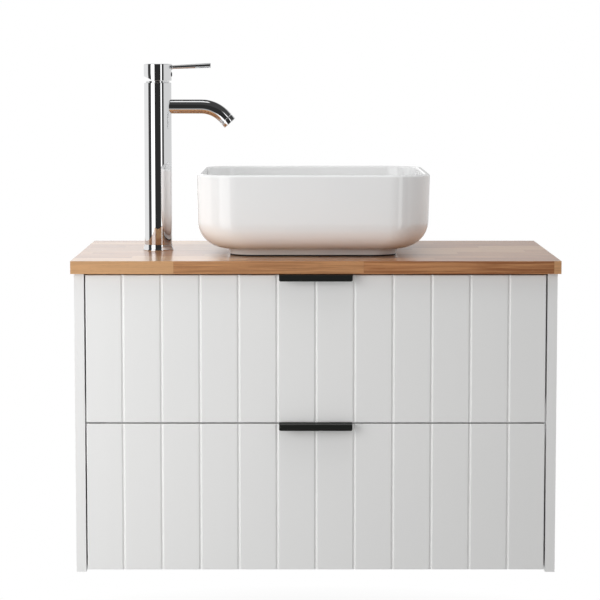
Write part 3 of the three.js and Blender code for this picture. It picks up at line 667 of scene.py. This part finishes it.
def rounded_square(half, radius, z):
    """A square with round corners and points along its sides, so that rings join smoothly."""
    c = half - radius
    points = []
    for quarter in range(4):
        turn = math.pi / 2 * quarter
        cos, sin = round(math.cos(turn)), round(math.sin(turn))
        corner = arc(c, c, radius, 0, 90, CORNER_STEPS)
        side = [(c - 2 * c * share, half) for share in SIDE_SHARES]
        points += [(x * cos - y * sin, x * sin + y * cos, z) for x, y in corner + side]
    return points


def circle_like(square, radius, z):
    """A circle with a point in the direction of each point of a square ring."""
    angles = [math.atan2(y, x) for x, y, _ in square]
    return [(radius * math.cos(a), radius * math.sin(a), z) for a in angles]


def outside_rings(height):
    """From the foot up the outside to the top of the rim. The corners widen on the way."""
    wall = BASIN_HALF - WALL_DRAFT
    lower, upper = FOOT_HEIGHT + BOTTOM_RADIUS, height - RIM_EDGE
    profile = [(FOOT_HALF + 0.0005, 0), (FOOT_HALF + FOOT_TAPER * 0.8, FOOT_HEIGHT * 0.8),
               (FOOT_HALF + FOOT_TAPER * 1.3, FOOT_HEIGHT)]
    profile += arc(wall - BOTTOM_RADIUS, lower, BOTTOM_RADIUS, 274, 360, 24)
    profile += [(wall + WALL_DRAFT * share, lower + (upper - lower) * share) for share in WALL_SHARES]
    profile += arc(BASIN_HALF - RIM_EDGE, upper, RIM_EDGE, 0, 90, RIM_STEPS)
    rings = []
    for half, z in profile:
        widened = (min(half, BASIN_HALF) - FOOT_HALF) / FOOT_INSET
        rings.append(rounded_square(half, FOOT_CORNER + (BASIN_CORNER - FOOT_CORNER) * widened, z))
    return rings


def bowl_corner(half):
    return max(FOOT_CORNER, BASIN_CORNER - BASIN_RIM - (INNER_HALF - half) / 4)


def bowl_rings(height):
    """From the top of the rim down the inside to the edge of the floor."""
    profile = arc(INNER_HALF + RIM_EDGE, height - RIM_EDGE, RIM_EDGE, 90, 180, RIM_STEPS)[1:]
    profile += arc(BOWL_HALF - BOWL_RADIUS, BOWL_FLOOR + BOWL_RADIUS, BOWL_RADIUS, 360, 270, 20)
    return [rounded_square(half, bowl_corner(half), z) for half, z in profile]


def floor_rings():
    """Across the floor, which falls to the drain while its rings turn from squares into circles."""
    flat = BOWL_HALF - BOWL_RADIUS
    rings = []
    for share in FLOOR_SHARES:
        half = flat + (DRAIN_HOLE - flat) * share
        square = rounded_square(half, max(bowl_corner(flat) * (1 - share), half * share), 0)
        z = BOWL_FLOOR - FLOOR_FALL * share
        rings.append([(sx + (cx - sx) * share, sy + (cy - sy) * share, z)
                      for (sx, sy, _), (cx, cy, _) in zip(square, circle_like(square, half, 0))])
    return rings


def underside_rings(last):
    """Down the drain hole, across the recess and down to the inner edge of the foot."""
    drop = UNDER_RECESS + FLOOR_THICKNESS
    inner = FOOT_HALF - FOOT_RING
    corner = FOOT_CORNER - FOOT_RING / 2
    return [
        circle_like(last, DRAIN_HOLE + DRAIN_EDGE, drop),
        circle_like(last, DRAIN_HOLE, drop - DRAIN_EDGE),
        circle_like(last, DRAIN_HOLE, UNDER_RECESS),
        rounded_square(inner - 0.003, corner, UNDER_RECESS),
        rounded_square(inner, corner, 0.002),
        rounded_square(inner + 0.001, corner, 0),
    ]


def standing(rings, node):
    """Rings about the origin, moved to stand where a CAD node stands."""
    middle, bottom = centre(node), low(node).z
    return [[(x + middle.x, y + middle.y, z + bottom) for x, y, z in ring] for ring in rings]


def basin():
    """A glazed vessel, skinned from its foot over the rim, down the bowl and out through the drain."""
    height = height_of("basin")
    rings = outside_rings(height) + bowl_rings(height) + floor_rings()
    rings += underside_rings(rings[-1])
    skin("basin_glazed", "basin", standing(rings, "basin"), smooth_angle=60)


# The seal is a real kind of part, but its black band under the basin's foot is also painted shade for the
# shadow gap there.
SEAL_WIDTH = 0.010
SEAL_EDGE = 0.0008


def basin_seal():
    """A flat black rubber bead with soft edges under the basin's foot. Its black is partly painted shade,
    standing in for the shadow gap there.
    """
    half, height = half_width("basin_seal"), height_of("basin_seal")
    near, far = SEAL_EDGE, SEAL_WIDTH - SEAL_EDGE
    section = ((near, 0), (0, SEAL_EDGE), (0, height - SEAL_EDGE), (near, height),
               (far, height), (SEAL_WIDTH, height - SEAL_EDGE), (SEAL_WIDTH, SEAL_EDGE), (far, 0))
    rings = [rounded_square(half - inset, FOOT_CORNER - inset, z) for inset, z in section]
    skin("basin_seal_painted_shade", "basin_seal", standing(rings, "basin_seal"))


# ---- turned fittings

def upright(node):
    """The place of a piece turned about the vertical line through the centre of a CAD node."""
    middle = centre(node)
    return Matrix.Translation((middle.x, middle.y, 0))


def ribbed(count, depth, z_low, z_high, outer):
    """A wobble that presses scallops into an outer wall between two heights."""
    def wobble(angle, radius, z):
        if radius < outer * 0.97 or not z_low < z < z_high:
            return radius, z
        return radius - depth * abs(math.sin(count * angle / 2)) ** 3, z
    return wobble


def tap_axis():
    return upright("tap_base_ring")


COLUMN = 0.0235
COLUMN_BORE = 0.0182
COLUMN_LOOP = 0.010  # height of a ring of points inside the column's foot
SPOUT_RADIUS = 0.0125
SPOUT_WALL = 0.0025
SPOUT_START = 0.019  # from the column's axis
SPOUT_STRAIGHT = 0.074  # length from the column's axis to the bend
SPOUT_BEND = 0.055  # radius of the bend
SPOUT_ANGLE = math.radians(48)
SPOUT_TAIL = 0.004
SPOUT_LENGTH = SPOUT_STRAIGHT + SPOUT_BEND * SPOUT_ANGLE + SPOUT_TAIL
SPOUT_FACETS = 72
BEND_STEPS = 32
AERATOR = 0.010
CAP_WALL = 0.0025
CAP_TOP = 0.014
RELIEF_HEIGHT = 0.012
RELIEF_START = 0.006
RELIEF_SLOPE = 0.45
LEVER_TILT = math.radians(2.6)
LEVER_AXIS = 0.0068  # below the cap's top
LEVER_ROOT = 0.0125
LEVER_END = 0.0915
NUT_BORE = 0.0133


def tap_column():
    """The tall hollow column."""
    a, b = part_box("tap_body")
    profile = [(COLUMN_BORE, a.z + COLUMN_LOOP, 0.0005), (COLUMN_BORE, a.z, 0.0005), (COLUMN, a.z, 0.0005),
               (COLUMN, b.z, 0.0009), (COLUMN_BORE, b.z, 0.0005)]
    turned("tap_column", "tap_body", profile, tap_axis())


def tap_ring():
    """The flared ring round the column's foot."""
    a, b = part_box("tap_base_ring")
    outer, inner, height = half_width("tap_base_ring"), COLUMN + 0.0002, b.z - a.z
    reach = outer - inner - 0.0008
    flare = [(outer - reach * math.sin(math.pi / 2 * t) ** 0.7, a.z + height * (0.22 + 0.78 * t), 0)
             for t in [i / 10 for i in range(11)]]
    profile = [(inner, a.z, 0), (outer, a.z, 0.0004)] + flare + [(inner, b.z, 0)]
    turned("tap_foot_ring", "tap_base_ring", profile, tap_axis())


def tap_cap():
    """A deep cap, its lower edge cut away on the side opposite the lever so that it can tilt."""
    a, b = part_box("tap_cap")
    outer = half_width("tap_cap")
    inner = outer - CAP_WALL
    relief_top, roof = a.z + RELIEF_HEIGHT, b.z - CAP_TOP

    def relieved(angle, radius, z):
        lift = max(0.0, RELIEF_SLOPE * (-radius * math.cos(angle) - RELIEF_START))
        share = max(0.0, 1 - (z - a.z) / RELIEF_HEIGHT)
        return radius, z + lift * share if z < relief_top else z

    profile = [(inner, roof, 0.001), (inner, relief_top, 0), (inner, a.z, 0.0005), (outer, a.z, 0.0006),
               (outer, relief_top, 0), (outer, b.z, 0.0011), (0, b.z, 0), (0, roof, 0)]
    turned("tap_cap_shell", "tap_cap", profile, tap_axis(), wobble=relieved)


def along_lever():
    """The place of a piece turned about the lever's line, with z outwards from the column's axis."""
    height = high("tap_cap").z - LEVER_AXIS
    tilt = Matrix.Rotation(math.pi / 2 - LEVER_TILT, 4, "Y")
    return tap_axis() @ Matrix.Translation((0, 0, height)) @ tilt


def tap_lever():
    """A slim rod that widens to a dimpled end, with a collar where it leaves the cap."""
    face = half_width("tap_cap") - 0.0006
    profile = [(0, LEVER_ROOT, 0), (0.0025, LEVER_ROOT, 0.0003), (0.0025, face, 0), (0.0040, face, 0.0004),
               (0.0042, face + 0.0022, 0.0005), (0.0032, face + 0.0026, 0.0003), (0.0034, face + 0.010, 0),
               (0.0042, LEVER_END, 0.0007), (0.0018, LEVER_END, 0.0002), (0.0016, LEVER_END - 0.0003, 0.0001),
               (0, LEVER_END - 0.0003, 0)]
    turned("tap_lever_rod", "tap_lever", profile, along_lever(), segments=64)


def index_button():
    """The small domed plug in the cap under the lever."""
    a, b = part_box("index_button")
    level = Matrix.Translation((0, 0, centre("index_button").z))
    place = tap_axis() @ level @ Matrix.Rotation(math.pi / 2, 4, "Y")
    reach, radius = b.x - centre("tap_base_ring").x, (b.z - a.z) / 2
    profile = [(0, reach - 0.004, 0), (radius, reach - 0.004, 0.0002), (radius, reach - 0.0006, 0.0006),
               (radius * 0.7, reach, 0.0006), (0, reach, 0)]
    turned("index_button_domed", "index_button", profile, place, segments=48)


def spout_point(s):
    """The centre line at a distance s from the column's axis, and the direction there."""
    bend_length = SPOUT_BEND * SPOUT_ANGLE
    angle = min(max((s - SPOUT_STRAIGHT) / SPOUT_BEND, 0), SPOUT_ANGLE)
    before = min(s, SPOUT_STRAIGHT)
    after = max(s - SPOUT_STRAIGHT - bend_length, 0)
    axis = centre("tap_base_ring")
    x = axis.x + before + SPOUT_BEND * math.sin(angle) + after * math.cos(angle)
    z = high("tap_spout").z - SPOUT_RADIUS - SPOUT_BEND * (1 - math.cos(angle)) - after * math.sin(angle)
    return Vector((x, axis.y, z)), angle


def spout():
    """A bent hollow tube, skinned out along its outer wall and back along its bore."""
    bend = [SPOUT_STRAIGHT + SPOUT_BEND * SPOUT_ANGLE * i / BEND_STEPS for i in range(BEND_STEPS + 1)]
    stations = [SPOUT_START, SPOUT_STRAIGHT * 0.6] + bend + [SPOUT_LENGTH]

    def tube(radius, s):
        point, angle = spout_point(s)
        up = Vector((math.sin(angle), 0, math.cos(angle)))
        return [point + up * (radius * math.cos(t)) + Vector((0, 1, 0)) * (radius * math.sin(t))
                for t in [2 * math.pi * i / SPOUT_FACETS for i in range(SPOUT_FACETS)]]

    outer = [tube(SPOUT_RADIUS, s) for s in stations[:-1]]
    outer += [tube(SPOUT_RADIUS, SPOUT_LENGTH - 0.0004), tube(SPOUT_RADIUS - 0.0004, SPOUT_LENGTH)]
    inner = [tube(SPOUT_RADIUS - SPOUT_WALL, s) for s in reversed(stations)]
    skin("tap_spout_tube", "tap_spout", outer + inner)


def at_mouth():
    """The place of a piece turned about the spout's line, with z = 0 at its mouth and rising out of it."""
    end, angle = spout_point(SPOUT_LENGTH)
    return Matrix.Translation(end) @ Matrix.Rotation(math.pi / 2 + angle, 4, "Y")


def aerator_ring():
    """The ring that holds the screen, with a thin shadow line against the spout."""
    bore = SPOUT_RADIUS - SPOUT_WALL
    neck = SPOUT_RADIUS - 0.0005
    profile = [(bore, 0.0003, 0), (neck, 0.0003, 0.0002), (neck, 0.0010, 0.0001),
               (SPOUT_RADIUS, 0.0014, 0.0003), (SPOUT_RADIUS, AERATOR, 0.0007), (bore, AERATOR, 0.0005)]
    turned("aerator_ring", "aerator_housing", profile, at_mouth(), segments=72)


SCREEN_BACK = 0.002
SCREEN_RIDGES = 5


def aerator_screen():
    """A ridged disc set back in the ring."""
    bore = SPOUT_RADIUS - SPOUT_WALL
    rim = bore - 0.0005
    face = AERATOR - 0.0012
    ridges = []
    for i in range(SCREEN_RIDGES):
        radius = (bore - 0.0010) * (1 - i / SCREEN_RIDGES)
        ridges += [(radius, face, 0.0001), (radius - 0.0007, face - 0.0008, 0.0001)]
    profile = [(rim, SCREEN_BACK, 0), (rim, face, 0.0002)] + ridges
    profile += [(0, face - 0.0002, 0), (0, SCREEN_BACK, 0)]
    turned("aerator_screen", "aerator_insert", profile, at_mouth(), segments=72)


def cartridge_collar():
    """The nut whose edge shows as a thin line between the column and the cap."""
    a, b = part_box("cartridge_nut")
    outer, thread = half_width("cartridge_nut"), COLUMN_BORE - 0.0002
    step = high("tap_body").z
    profile = [(NUT_BORE, a.z, 0.0003), (thread, a.z, 0.0003), (thread, step, 0.0002), (outer, step, 0.0004),
               (outer, b.z, 0.0005), (NUT_BORE, b.z, 0.0004)]
    turned("cartridge_collar", "cartridge_nut", profile, tap_axis())


WASTE_TUBE = 0.0209
WASTE_BORE = 0.017
FLANGE_THICKNESS = 0.0026
THREAD_START = 0.002
THREAD_PITCH = 0.0018
THREAD_TURNS = 22
THREAD_DEPTH = 0.0006
PLUG_RADIUS = 0.027
PLUG_STEM = 0.005
PLUG_HEAD = 0.006
PLUG_DOME = 0.0038  # height of the domed part of its head


def waste_body():
    """The drain's flange and its tube, with the thread as rings."""
    a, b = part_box("waste_flange")
    flange, under = half_width("waste_flange"), b.z - FLANGE_THICKNESS
    profile = [(WASTE_BORE, a.z, 0.0004), (WASTE_TUBE, a.z, 0.0004)]
    for i in range(THREAD_TURNS):
        z = a.z + THREAD_START + i * THREAD_PITCH
        profile += [(WASTE_TUBE, z, 0), (WASTE_TUBE - THREAD_DEPTH, z + THREAD_PITCH / 2, 0)]
    profile += [(WASTE_TUBE, a.z + THREAD_START + THREAD_TURNS * THREAD_PITCH, 0), (WASTE_TUBE, under, 0),
                (flange, under, 0.0004), (flange, under + 0.0011, 0.0005), (flange - 0.003, b.z, 0.0012),
                (WASTE_BORE + 0.002, b.z, 0.001), (WASTE_BORE, b.z - 0.002, 0.0006)]
    turned("waste_body", "waste_flange", profile, upright("waste_flange"))


def waste_plug():
    """A domed head on a stem."""
    a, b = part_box("waste_plug")
    seat = b.z - PLUG_HEAD
    dome = [(PLUG_RADIUS * math.cos(t), b.z - PLUG_DOME + PLUG_DOME * math.sin(t), 0)
            for t in [math.pi / 2 * i / 14 for i in range(14)]]
    profile = [(0, a.z, 0), (PLUG_STEM, a.z, 0.0005), (PLUG_STEM, seat, 0.0003), (PLUG_RADIUS, seat, 0.0005)]
    turned("waste_plug_dome", "waste_plug", profile + dome + [(0, b.z, 0)], upright("waste_plug"))


PIPE = 0.016
PIPE_BORE = 0.0148
PIPE_HOLE = 0.0163  # bore of what fits round the pipe
CUP_WALL = 0.0027
CUP_RIB_PITCH = 0.0035
BOTTLE = 0.028
BOTTLE_WALL = 0.0025
BOTTLE_NECK = 0.020
SHOULDER_DROP = 0.009
NUT_TUBE = 0.0212
NUT_SHELF = 0.011
NUT_RIB_PITCH = 0.0027


def trap_cup():
    """The cup that unscrews from below, with a ribbed grip."""
    a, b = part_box("trap_cup")
    outer, foot = half_width("trap_cup"), a.z + 0.010
    inner, bottom = outer - CUP_WALL, a.z + 0.003
    profile = [(0, a.z, 0), (outer - 0.006, a.z, 0.004), (outer, a.z + 0.006, 0.003), (outer, foot, 0)]
    profile += [(outer, foot + CUP_RIB_PITCH * i, 0) for i in range(1, 8)]
    profile += [(outer, b.z, 0.0008), (inner, b.z, 0.0006), (inner, bottom, 0.002), (0, bottom, 0)]
    grip = ribbed(24, 0.0014, a.z + 0.009, b.z - 0.002, outer)
    turned("trap_cup_ribbed", "trap_cup", profile, upright("trap_body"), 144, grip)


def trap_bottle():
    """The trap's shell, its shoulder and its neck."""
    a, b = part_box("trap_body")
    shoulder, inside = b.z - SHOULDER_DROP, BOTTLE - BOTTLE_WALL
    profile = [(inside, a.z, 0.0006), (BOTTLE, a.z, 0.0006), (BOTTLE, shoulder - 0.004, 0.004),
               (BOTTLE - 0.005, shoulder, 0.003), (BOTTLE_NECK, shoulder, 0.0015), (BOTTLE_NECK, b.z, 0.0006),
               (PIPE_HOLE, b.z, 0.0006), (PIPE_HOLE, shoulder - BOTTLE_WALL, 0.0005),
               (inside, shoulder - BOTTLE_WALL, 0.004)]
    turned("trap_bottle", "trap_body", profile, upright("trap_body"))


def slip_nut():
    """The ribbed nut that joins the trap to the waste."""
    a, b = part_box("trap_slip_nut")
    outer, shelf = half_width("trap_slip_nut"), a.z + NUT_SHELF
    profile = [(PIPE_HOLE, a.z, 0.0005), (outer - 0.002, a.z, 0.0015), (outer, a.z + 0.003, 0.001)]
    profile += [(outer, a.z + 0.003 + NUT_RIB_PITCH * i, 0) for i in range(1, 7)]
    profile += [(outer, b.z, 0.0012), (NUT_TUBE, b.z, 0.0005), (NUT_TUBE, shelf, 0.0004),
                (PIPE_HOLE, shelf, 0.0004)]
    grip = ribbed(20, 0.0012, a.z + 0.004, b.z - 0.002, outer)
    turned("slip_nut_ribbed", "trap_slip_nut", profile, upright("trap_body"), 120, grip)


def tailpiece():
    a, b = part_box("trap_tailpiece")
    profile = [(PIPE_BORE, a.z, 0.0003), (PIPE, a.z, 0.0003), (PIPE, b.z, 0.0003), (PIPE_BORE, b.z, 0.0003)]
    turned("tailpiece_tube", "trap_tailpiece", profile, upright("trap_body"))


def outlet_place():
    """Puts a piece turned about z along the outlet, with z = 0 at the wall and rising into the room."""
    middle = centre("trap_outlet_pipe")
    return Matrix.Translation((middle.x, 0, middle.z)) @ Matrix.Rotation(math.pi / 2, 4, "X")


def outlet_pipe():
    length = -low("trap_outlet_pipe").y
    profile = [(PIPE_BORE, 0, 0), (PIPE, 0, 0), (PIPE, length, 0.0004), (PIPE_BORE, length, 0.0004)]
    turned("outlet_tube", "trap_outlet_pipe", profile, outlet_place())


ROSETTE_RIM = 0.0015
ROSETTE_NECK = 0.019


def rosette():
    """The bell that covers the hole in the wall."""
    outer, depth = half_width("wall_rosette"), -low("wall_rosette").y
    bell = [(outer - (outer - ROSETTE_NECK) * t ** 0.8,
             ROSETTE_RIM + (depth - ROSETTE_RIM) * math.sin(math.pi / 2 * t), 0)
            for t in [i / 12 for i in range(13)]]
    profile = [(PIPE_HOLE, 0, 0), (outer, 0, 0.0003)] + bell + [(PIPE_HOLE, depth, 0.0008)]
    turned("rosette_bell", "wall_rosette", profile, outlet_place())


# ---- screws

SCREW_RINGS = 8
SCREW_SEGMENTS = 48
SCREW_FLOOR = 0.06  # share of a head's height that is left under its cross


def screw_head(place, radius, height):
    """A cross-recessed dome, its vertices and faces, on the plane z = 0 of place."""
    slot, reach, depth = radius * 0.16, radius * 0.62, height * 0.86
    vertices, faces = [], []
    for ring in range(SCREW_RINGS + 1):
        r = radius * ring / SCREW_RINGS
        lowest = SCREW_FLOOR * height if ring < SCREW_RINGS else 0
        for s in range(SCREW_SEGMENTS):
            angle = 2 * math.pi * s / SCREW_SEGMENTS
            x, y = r * math.cos(angle), r * math.sin(angle)
            z = height * math.sqrt(max(0.0, 1 - (r / radius) ** 2))
            if min(abs(x), abs(y)) < slot and r < reach:
                z -= depth * (1 - r / reach) + 0.1 * depth
            vertices.append(place @ Vector((x, y, max(z, lowest))))
    for ring in range(SCREW_RINGS):
        a, b = ring * SCREW_SEGMENTS, (ring + 1) * SCREW_SEGMENTS
        for s in range(SCREW_SEGMENTS):
            t = (s + 1) % SCREW_SEGMENTS
            faces.append((a + s, b + s, b + t, a + t))
    faces.append(tuple(reversed(range(SCREW_RINGS * SCREW_SEGMENTS, (SCREW_RINGS + 1) * SCREW_SEGMENTS))))
    return vertices, faces


def screws(name, places, radius, height, body, slot):
    """Several screw heads as one piece. Each place is a point and the direction its head faces."""
    vertices, faces = [], []
    for point, direction in places:
        turn = Vector(direction).to_track_quat("Z", "Y").to_matrix().to_4x4()
        head, cells = screw_head(Matrix.Translation(point) @ turn, radius, height)
        start = len(vertices)
        vertices += head
        faces += [tuple(start + i for i in face) for face in cells]
    added(new_object(name, vertices, faces), body, slot)


HANDLE_SCREWS = (-0.048, 0.048)
HANDLE_SCREW_RISE = 0.010
RAIL_SHEET = 1.5 * MM


def handle_screws(drawer):
    a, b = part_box(drawer + "_handle")
    places = [((x, b.y, a.z + HANDLE_SCREW_RISE), (0, 1, 0)) for x in HANDLE_SCREWS]
    screws(drawer + "_handle_screws", places, 0.0028, 0.00098, drawer + "_drawer", "black_metal")


def rail_screws():
    """Very flat heads, which the sliding rails pass."""
    places = []
    for drawer in DRAWERS:
        for side, inward in (("left", 1), ("right", -1)):
            a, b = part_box(f"{drawer}_{side}_cabinet_rail")
            x = (a.x if inward > 0 else b.x) + inward * RAIL_SHEET
            z = (a.z + b.z) / 2
            places += [((x, a.y + share * (b.y - a.y), z), (inward, 0, 0)) for share in (0.1, 0.5, 0.9)]
    screws("rail_screws", places, 0.003, 0.0002, "vanity", "steel")


def hanger_screws():
    places = []
    for side in ("left", "right"):
        a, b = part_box("hanger_" + side)
        places += [(((a.x + b.x) / 2, a.y, a.z + share * (b.z - a.z)), (0, -1, 0)) for share in (0.3, 0.72)]
    screws("hanger_screws", places, 0.0042, 0.0015, "vanity", "steel")


# ---- dressing everything

EASE_OF_NODE = {
    "worktop": 1.6 * MM, "side_panel_left": 0.8 * MM, "side_panel_right": 0.8 * MM,
    "upper_trap_bay": 0.9 * MM, "hanger_left": 0.8 * MM, "hanger_right": 0.8 * MM,
}
EASE_OF_SLOT = {"white_board": 0.6 * MM, "painted_steel": 0.5 * MM, "steel": 0.35 * MM}
SMALL_EASE = 0.25 * MM


def rebuild_shapes():
    for drawer in DRAWERS:
        drawer_front(drawer + "_drawer_front")
        handle(drawer + "_handle")
    for make in (basin, basin_seal, tap_column, tap_ring, tap_cap, tap_lever, index_button, spout,
                 aerator_ring, aerator_screen, cartridge_collar, waste_body, waste_plug, trap_cup,
                 trap_bottle, slip_nut, tailpiece, outlet_pipe, rosette):
        make()
    for drawer in DRAWERS:
        handle_screws(drawer)
    rail_screws()
    hanger_screws()


def dress_the_rest():
    """Every CAD solid that was not replaced."""
    for name, made in nodes.items():
        if not made.hide_render:
            dress(name, EASE_OF_NODE.get(name, EASE_OF_SLOT.get(SLOT_OF[name], SMALL_EASE)))


rebuild_shapes()
dress_the_rest()


# ---- floor, world and lights

FLOOR_DROP = 0.28
FLOOR_RADIUS = 4.0
FLOOR_SIDES = 96
FLOOR_GLOW = 0.6  # how much of the backdrop's white is already in the floor under the cabinet
FLOOR_PLAIN = (0.55, 0.95)  # the floor fades to the backdrop's white between these distances
TARGET = Vector((0, -0.23, 0.0))


def floor_paint(middle):
    """Pale matt paint that turns into the backdrop's white away from the middle."""
    shader = Shader("floor", (0.86, 0.86, 0.86), 0.7)
    distance = shader.node("ShaderNodeVectorMath", {0: shader.place, 1: middle}, operation="DISTANCE")
    away = shader.between(distance.outputs["Value"], FLOOR_GLOW, 1.0, *FLOOR_PLAIN)
    glow = shader.node("ShaderNodeEmission", {"Color": (1, 1, 1, 1)}).outputs[0]
    surface = shader.mixed_shaders(away, shader.bsdf.outputs[0], glow)
    shader.set(shader.tree.nodes["Material Output"], "Surface", surface)
    return shader.material


def floor():
    """A plain disc that takes a soft shadow and throws no light back on the object."""
    middle = Vector((TARGET.x, TARGET.y, cad_bounds[0][2] - FLOOR_DROP))
    angles = [2 * math.pi * i / FLOOR_SIDES for i in range(FLOOR_SIDES)]
    ring = [middle + FLOOR_RADIUS * Vector((math.cos(a), math.sin(a), 0)) for a in angles]
    made = new_object("floor", ring, [tuple(range(FLOOR_SIDES))])
    made.data.materials.append(floor_paint(middle))
    made.visible_diffuse = False
    made.visible_glossy = False


# Brightness of the studio round the object, by the angle from the camera's side: 0 faces the camera,
# negative angles are on its left, and each row holds until the next.
STUDIO = (
    (-180, 1.15), (-172, 1.40), (-160, 0.90), (-80, 0.05), (-52, 1.6), (-21, 0.03), (30, 1.5), (40, 0.035),
    (57, 0.74), (165, 0.42), (174, 0.60),
)
STUDIO_SOFT = 2.0  # degrees over which one row turns into the next
# Levels above and below: each takes over as the direction's height goes from its start to its end.
CEILING = (0.06, math.sin(math.radians(28)), math.sin(math.radians(36)))
OVERHEAD = (1.2, math.sin(math.radians(76)), math.sin(math.radians(79)))
GROUND = (0.5, -0.45, -0.60)
WORLD_FILL = 0.45
KEY = {"angle": -45, "distance": 1.8, "height": 0.12, "width": 1.0, "tall": 1.6, "power": 16.3}
TOP = {"angle": -8, "distance": 0.5, "height": 2.2, "width": 1.8, "tall": 1.2, "power": 20}
SIDE_ANGLE = 118  # behind the plane of the fronts, so that these two leave the fronts alone
SIDE = {"distance": 2.0, "height": 0.1, "width": 1.2, "tall": 1.2, "power": 9}


def studio_bands(tree, x, y):
    """The brightness in STUDIO for a direction's angle about the vertical."""
    turn = tree.maths("ARCTAN2", x, tree.maths("MULTIPLY", y, -1.0))
    share = tree.maths("ADD", tree.maths("DIVIDE", turn, 2 * math.pi), 0.5)
    ends = [angle - STUDIO_SOFT for angle, _ in STUDIO[1:]] + [180]
    stops = []
    for (angle, value), end in zip(STUDIO, ends):
        stops += [((angle + 180) / 360, value), ((end + 180) / 360, value)]
    bands = tree.node("ShaderNodeValToRGB", {0: share})
    ramp = bands.color_ramp
    while len(ramp.elements) < len(stops):
        ramp.elements.new(0.5)
    brightest = max(value for _, value in STUDIO)
    for element, (place, value) in zip(ramp.elements, stops):
        element.position = place
        element.color = (value / brightest,) * 3 + (1,)
    return tree.maths("MULTIPLY", bands.outputs[0], brightest)


def studio_brightness(tree):
    """What a glossy surface meets in each direction: bands, a dark ceiling, a lamp overhead, the ground."""
    direction = tree.node("ShaderNodeTexCoord").outputs["Generated"]
    x, y, z = tree.node("ShaderNodeSeparateXYZ", {0: direction}).outputs
    brightness = studio_bands(tree, x, y)
    for level, start, end in (CEILING, OVERHEAD, GROUND):
        brightness = tree.blended(tree.between(z, 0.0, 1.0, start, end), brightness, level)
    return brightness


def background(tree, strength):
    return tree.node("ShaderNodeBackground", {"Color": (1, 1, 1, 1), "Strength": strength}).outputs[0]


def studio_world():
    """White behind the object for the camera, a banded studio in its reflections, an even fill on it."""
    world = bpy.data.worlds.new("studio")
    world.use_nodes = True
    bpy.context.scene.world = world
    world.node_tree.nodes.clear()
    tree = Nodes(world.node_tree)
    rays = tree.node("ShaderNodeLightPath").outputs
    reflected = background(tree, studio_brightness(tree))
    lit = tree.mixed_shaders(rays["Is Glossy Ray"], background(tree, WORLD_FILL), reflected)
    seen = tree.mixed_shaders(rays["Is Camera Ray"], lit, background(tree, 1.0))
    tree.node("ShaderNodeOutputWorld", {0: seen})


def softbox(name, angle, distance, height, width, tall, power):
    """A rectangular lamp at an angle from the camera's side of the object, aimed at it."""
    data = bpy.data.lights.new(name, "AREA")
    data.shape = "RECTANGLE"
    data.size = width
    data.size_y = tall
    data.energy = power
    made = bpy.data.objects.new(name, data)
    turn = math.radians(angle)
    place = TARGET + Vector((math.sin(turn) * distance, -math.cos(turn) * distance, height))
    made.location = place
    made.rotation_euler = (TARGET - place).to_track_quat("-Z", "Y").to_euler()
    made.visible_glossy = False
    bpy.context.scene.collection.objects.link(made)


floor()
studio_world()
softbox("key", **KEY)
softbox("top", **TOP)
softbox("side_left", angle=-SIDE_ANGLE, **SIDE)
softbox("side_right", angle=SIDE_ANGLE, **SIDE)
bpy.context.scene.view_settings.view_transform = "Standard"
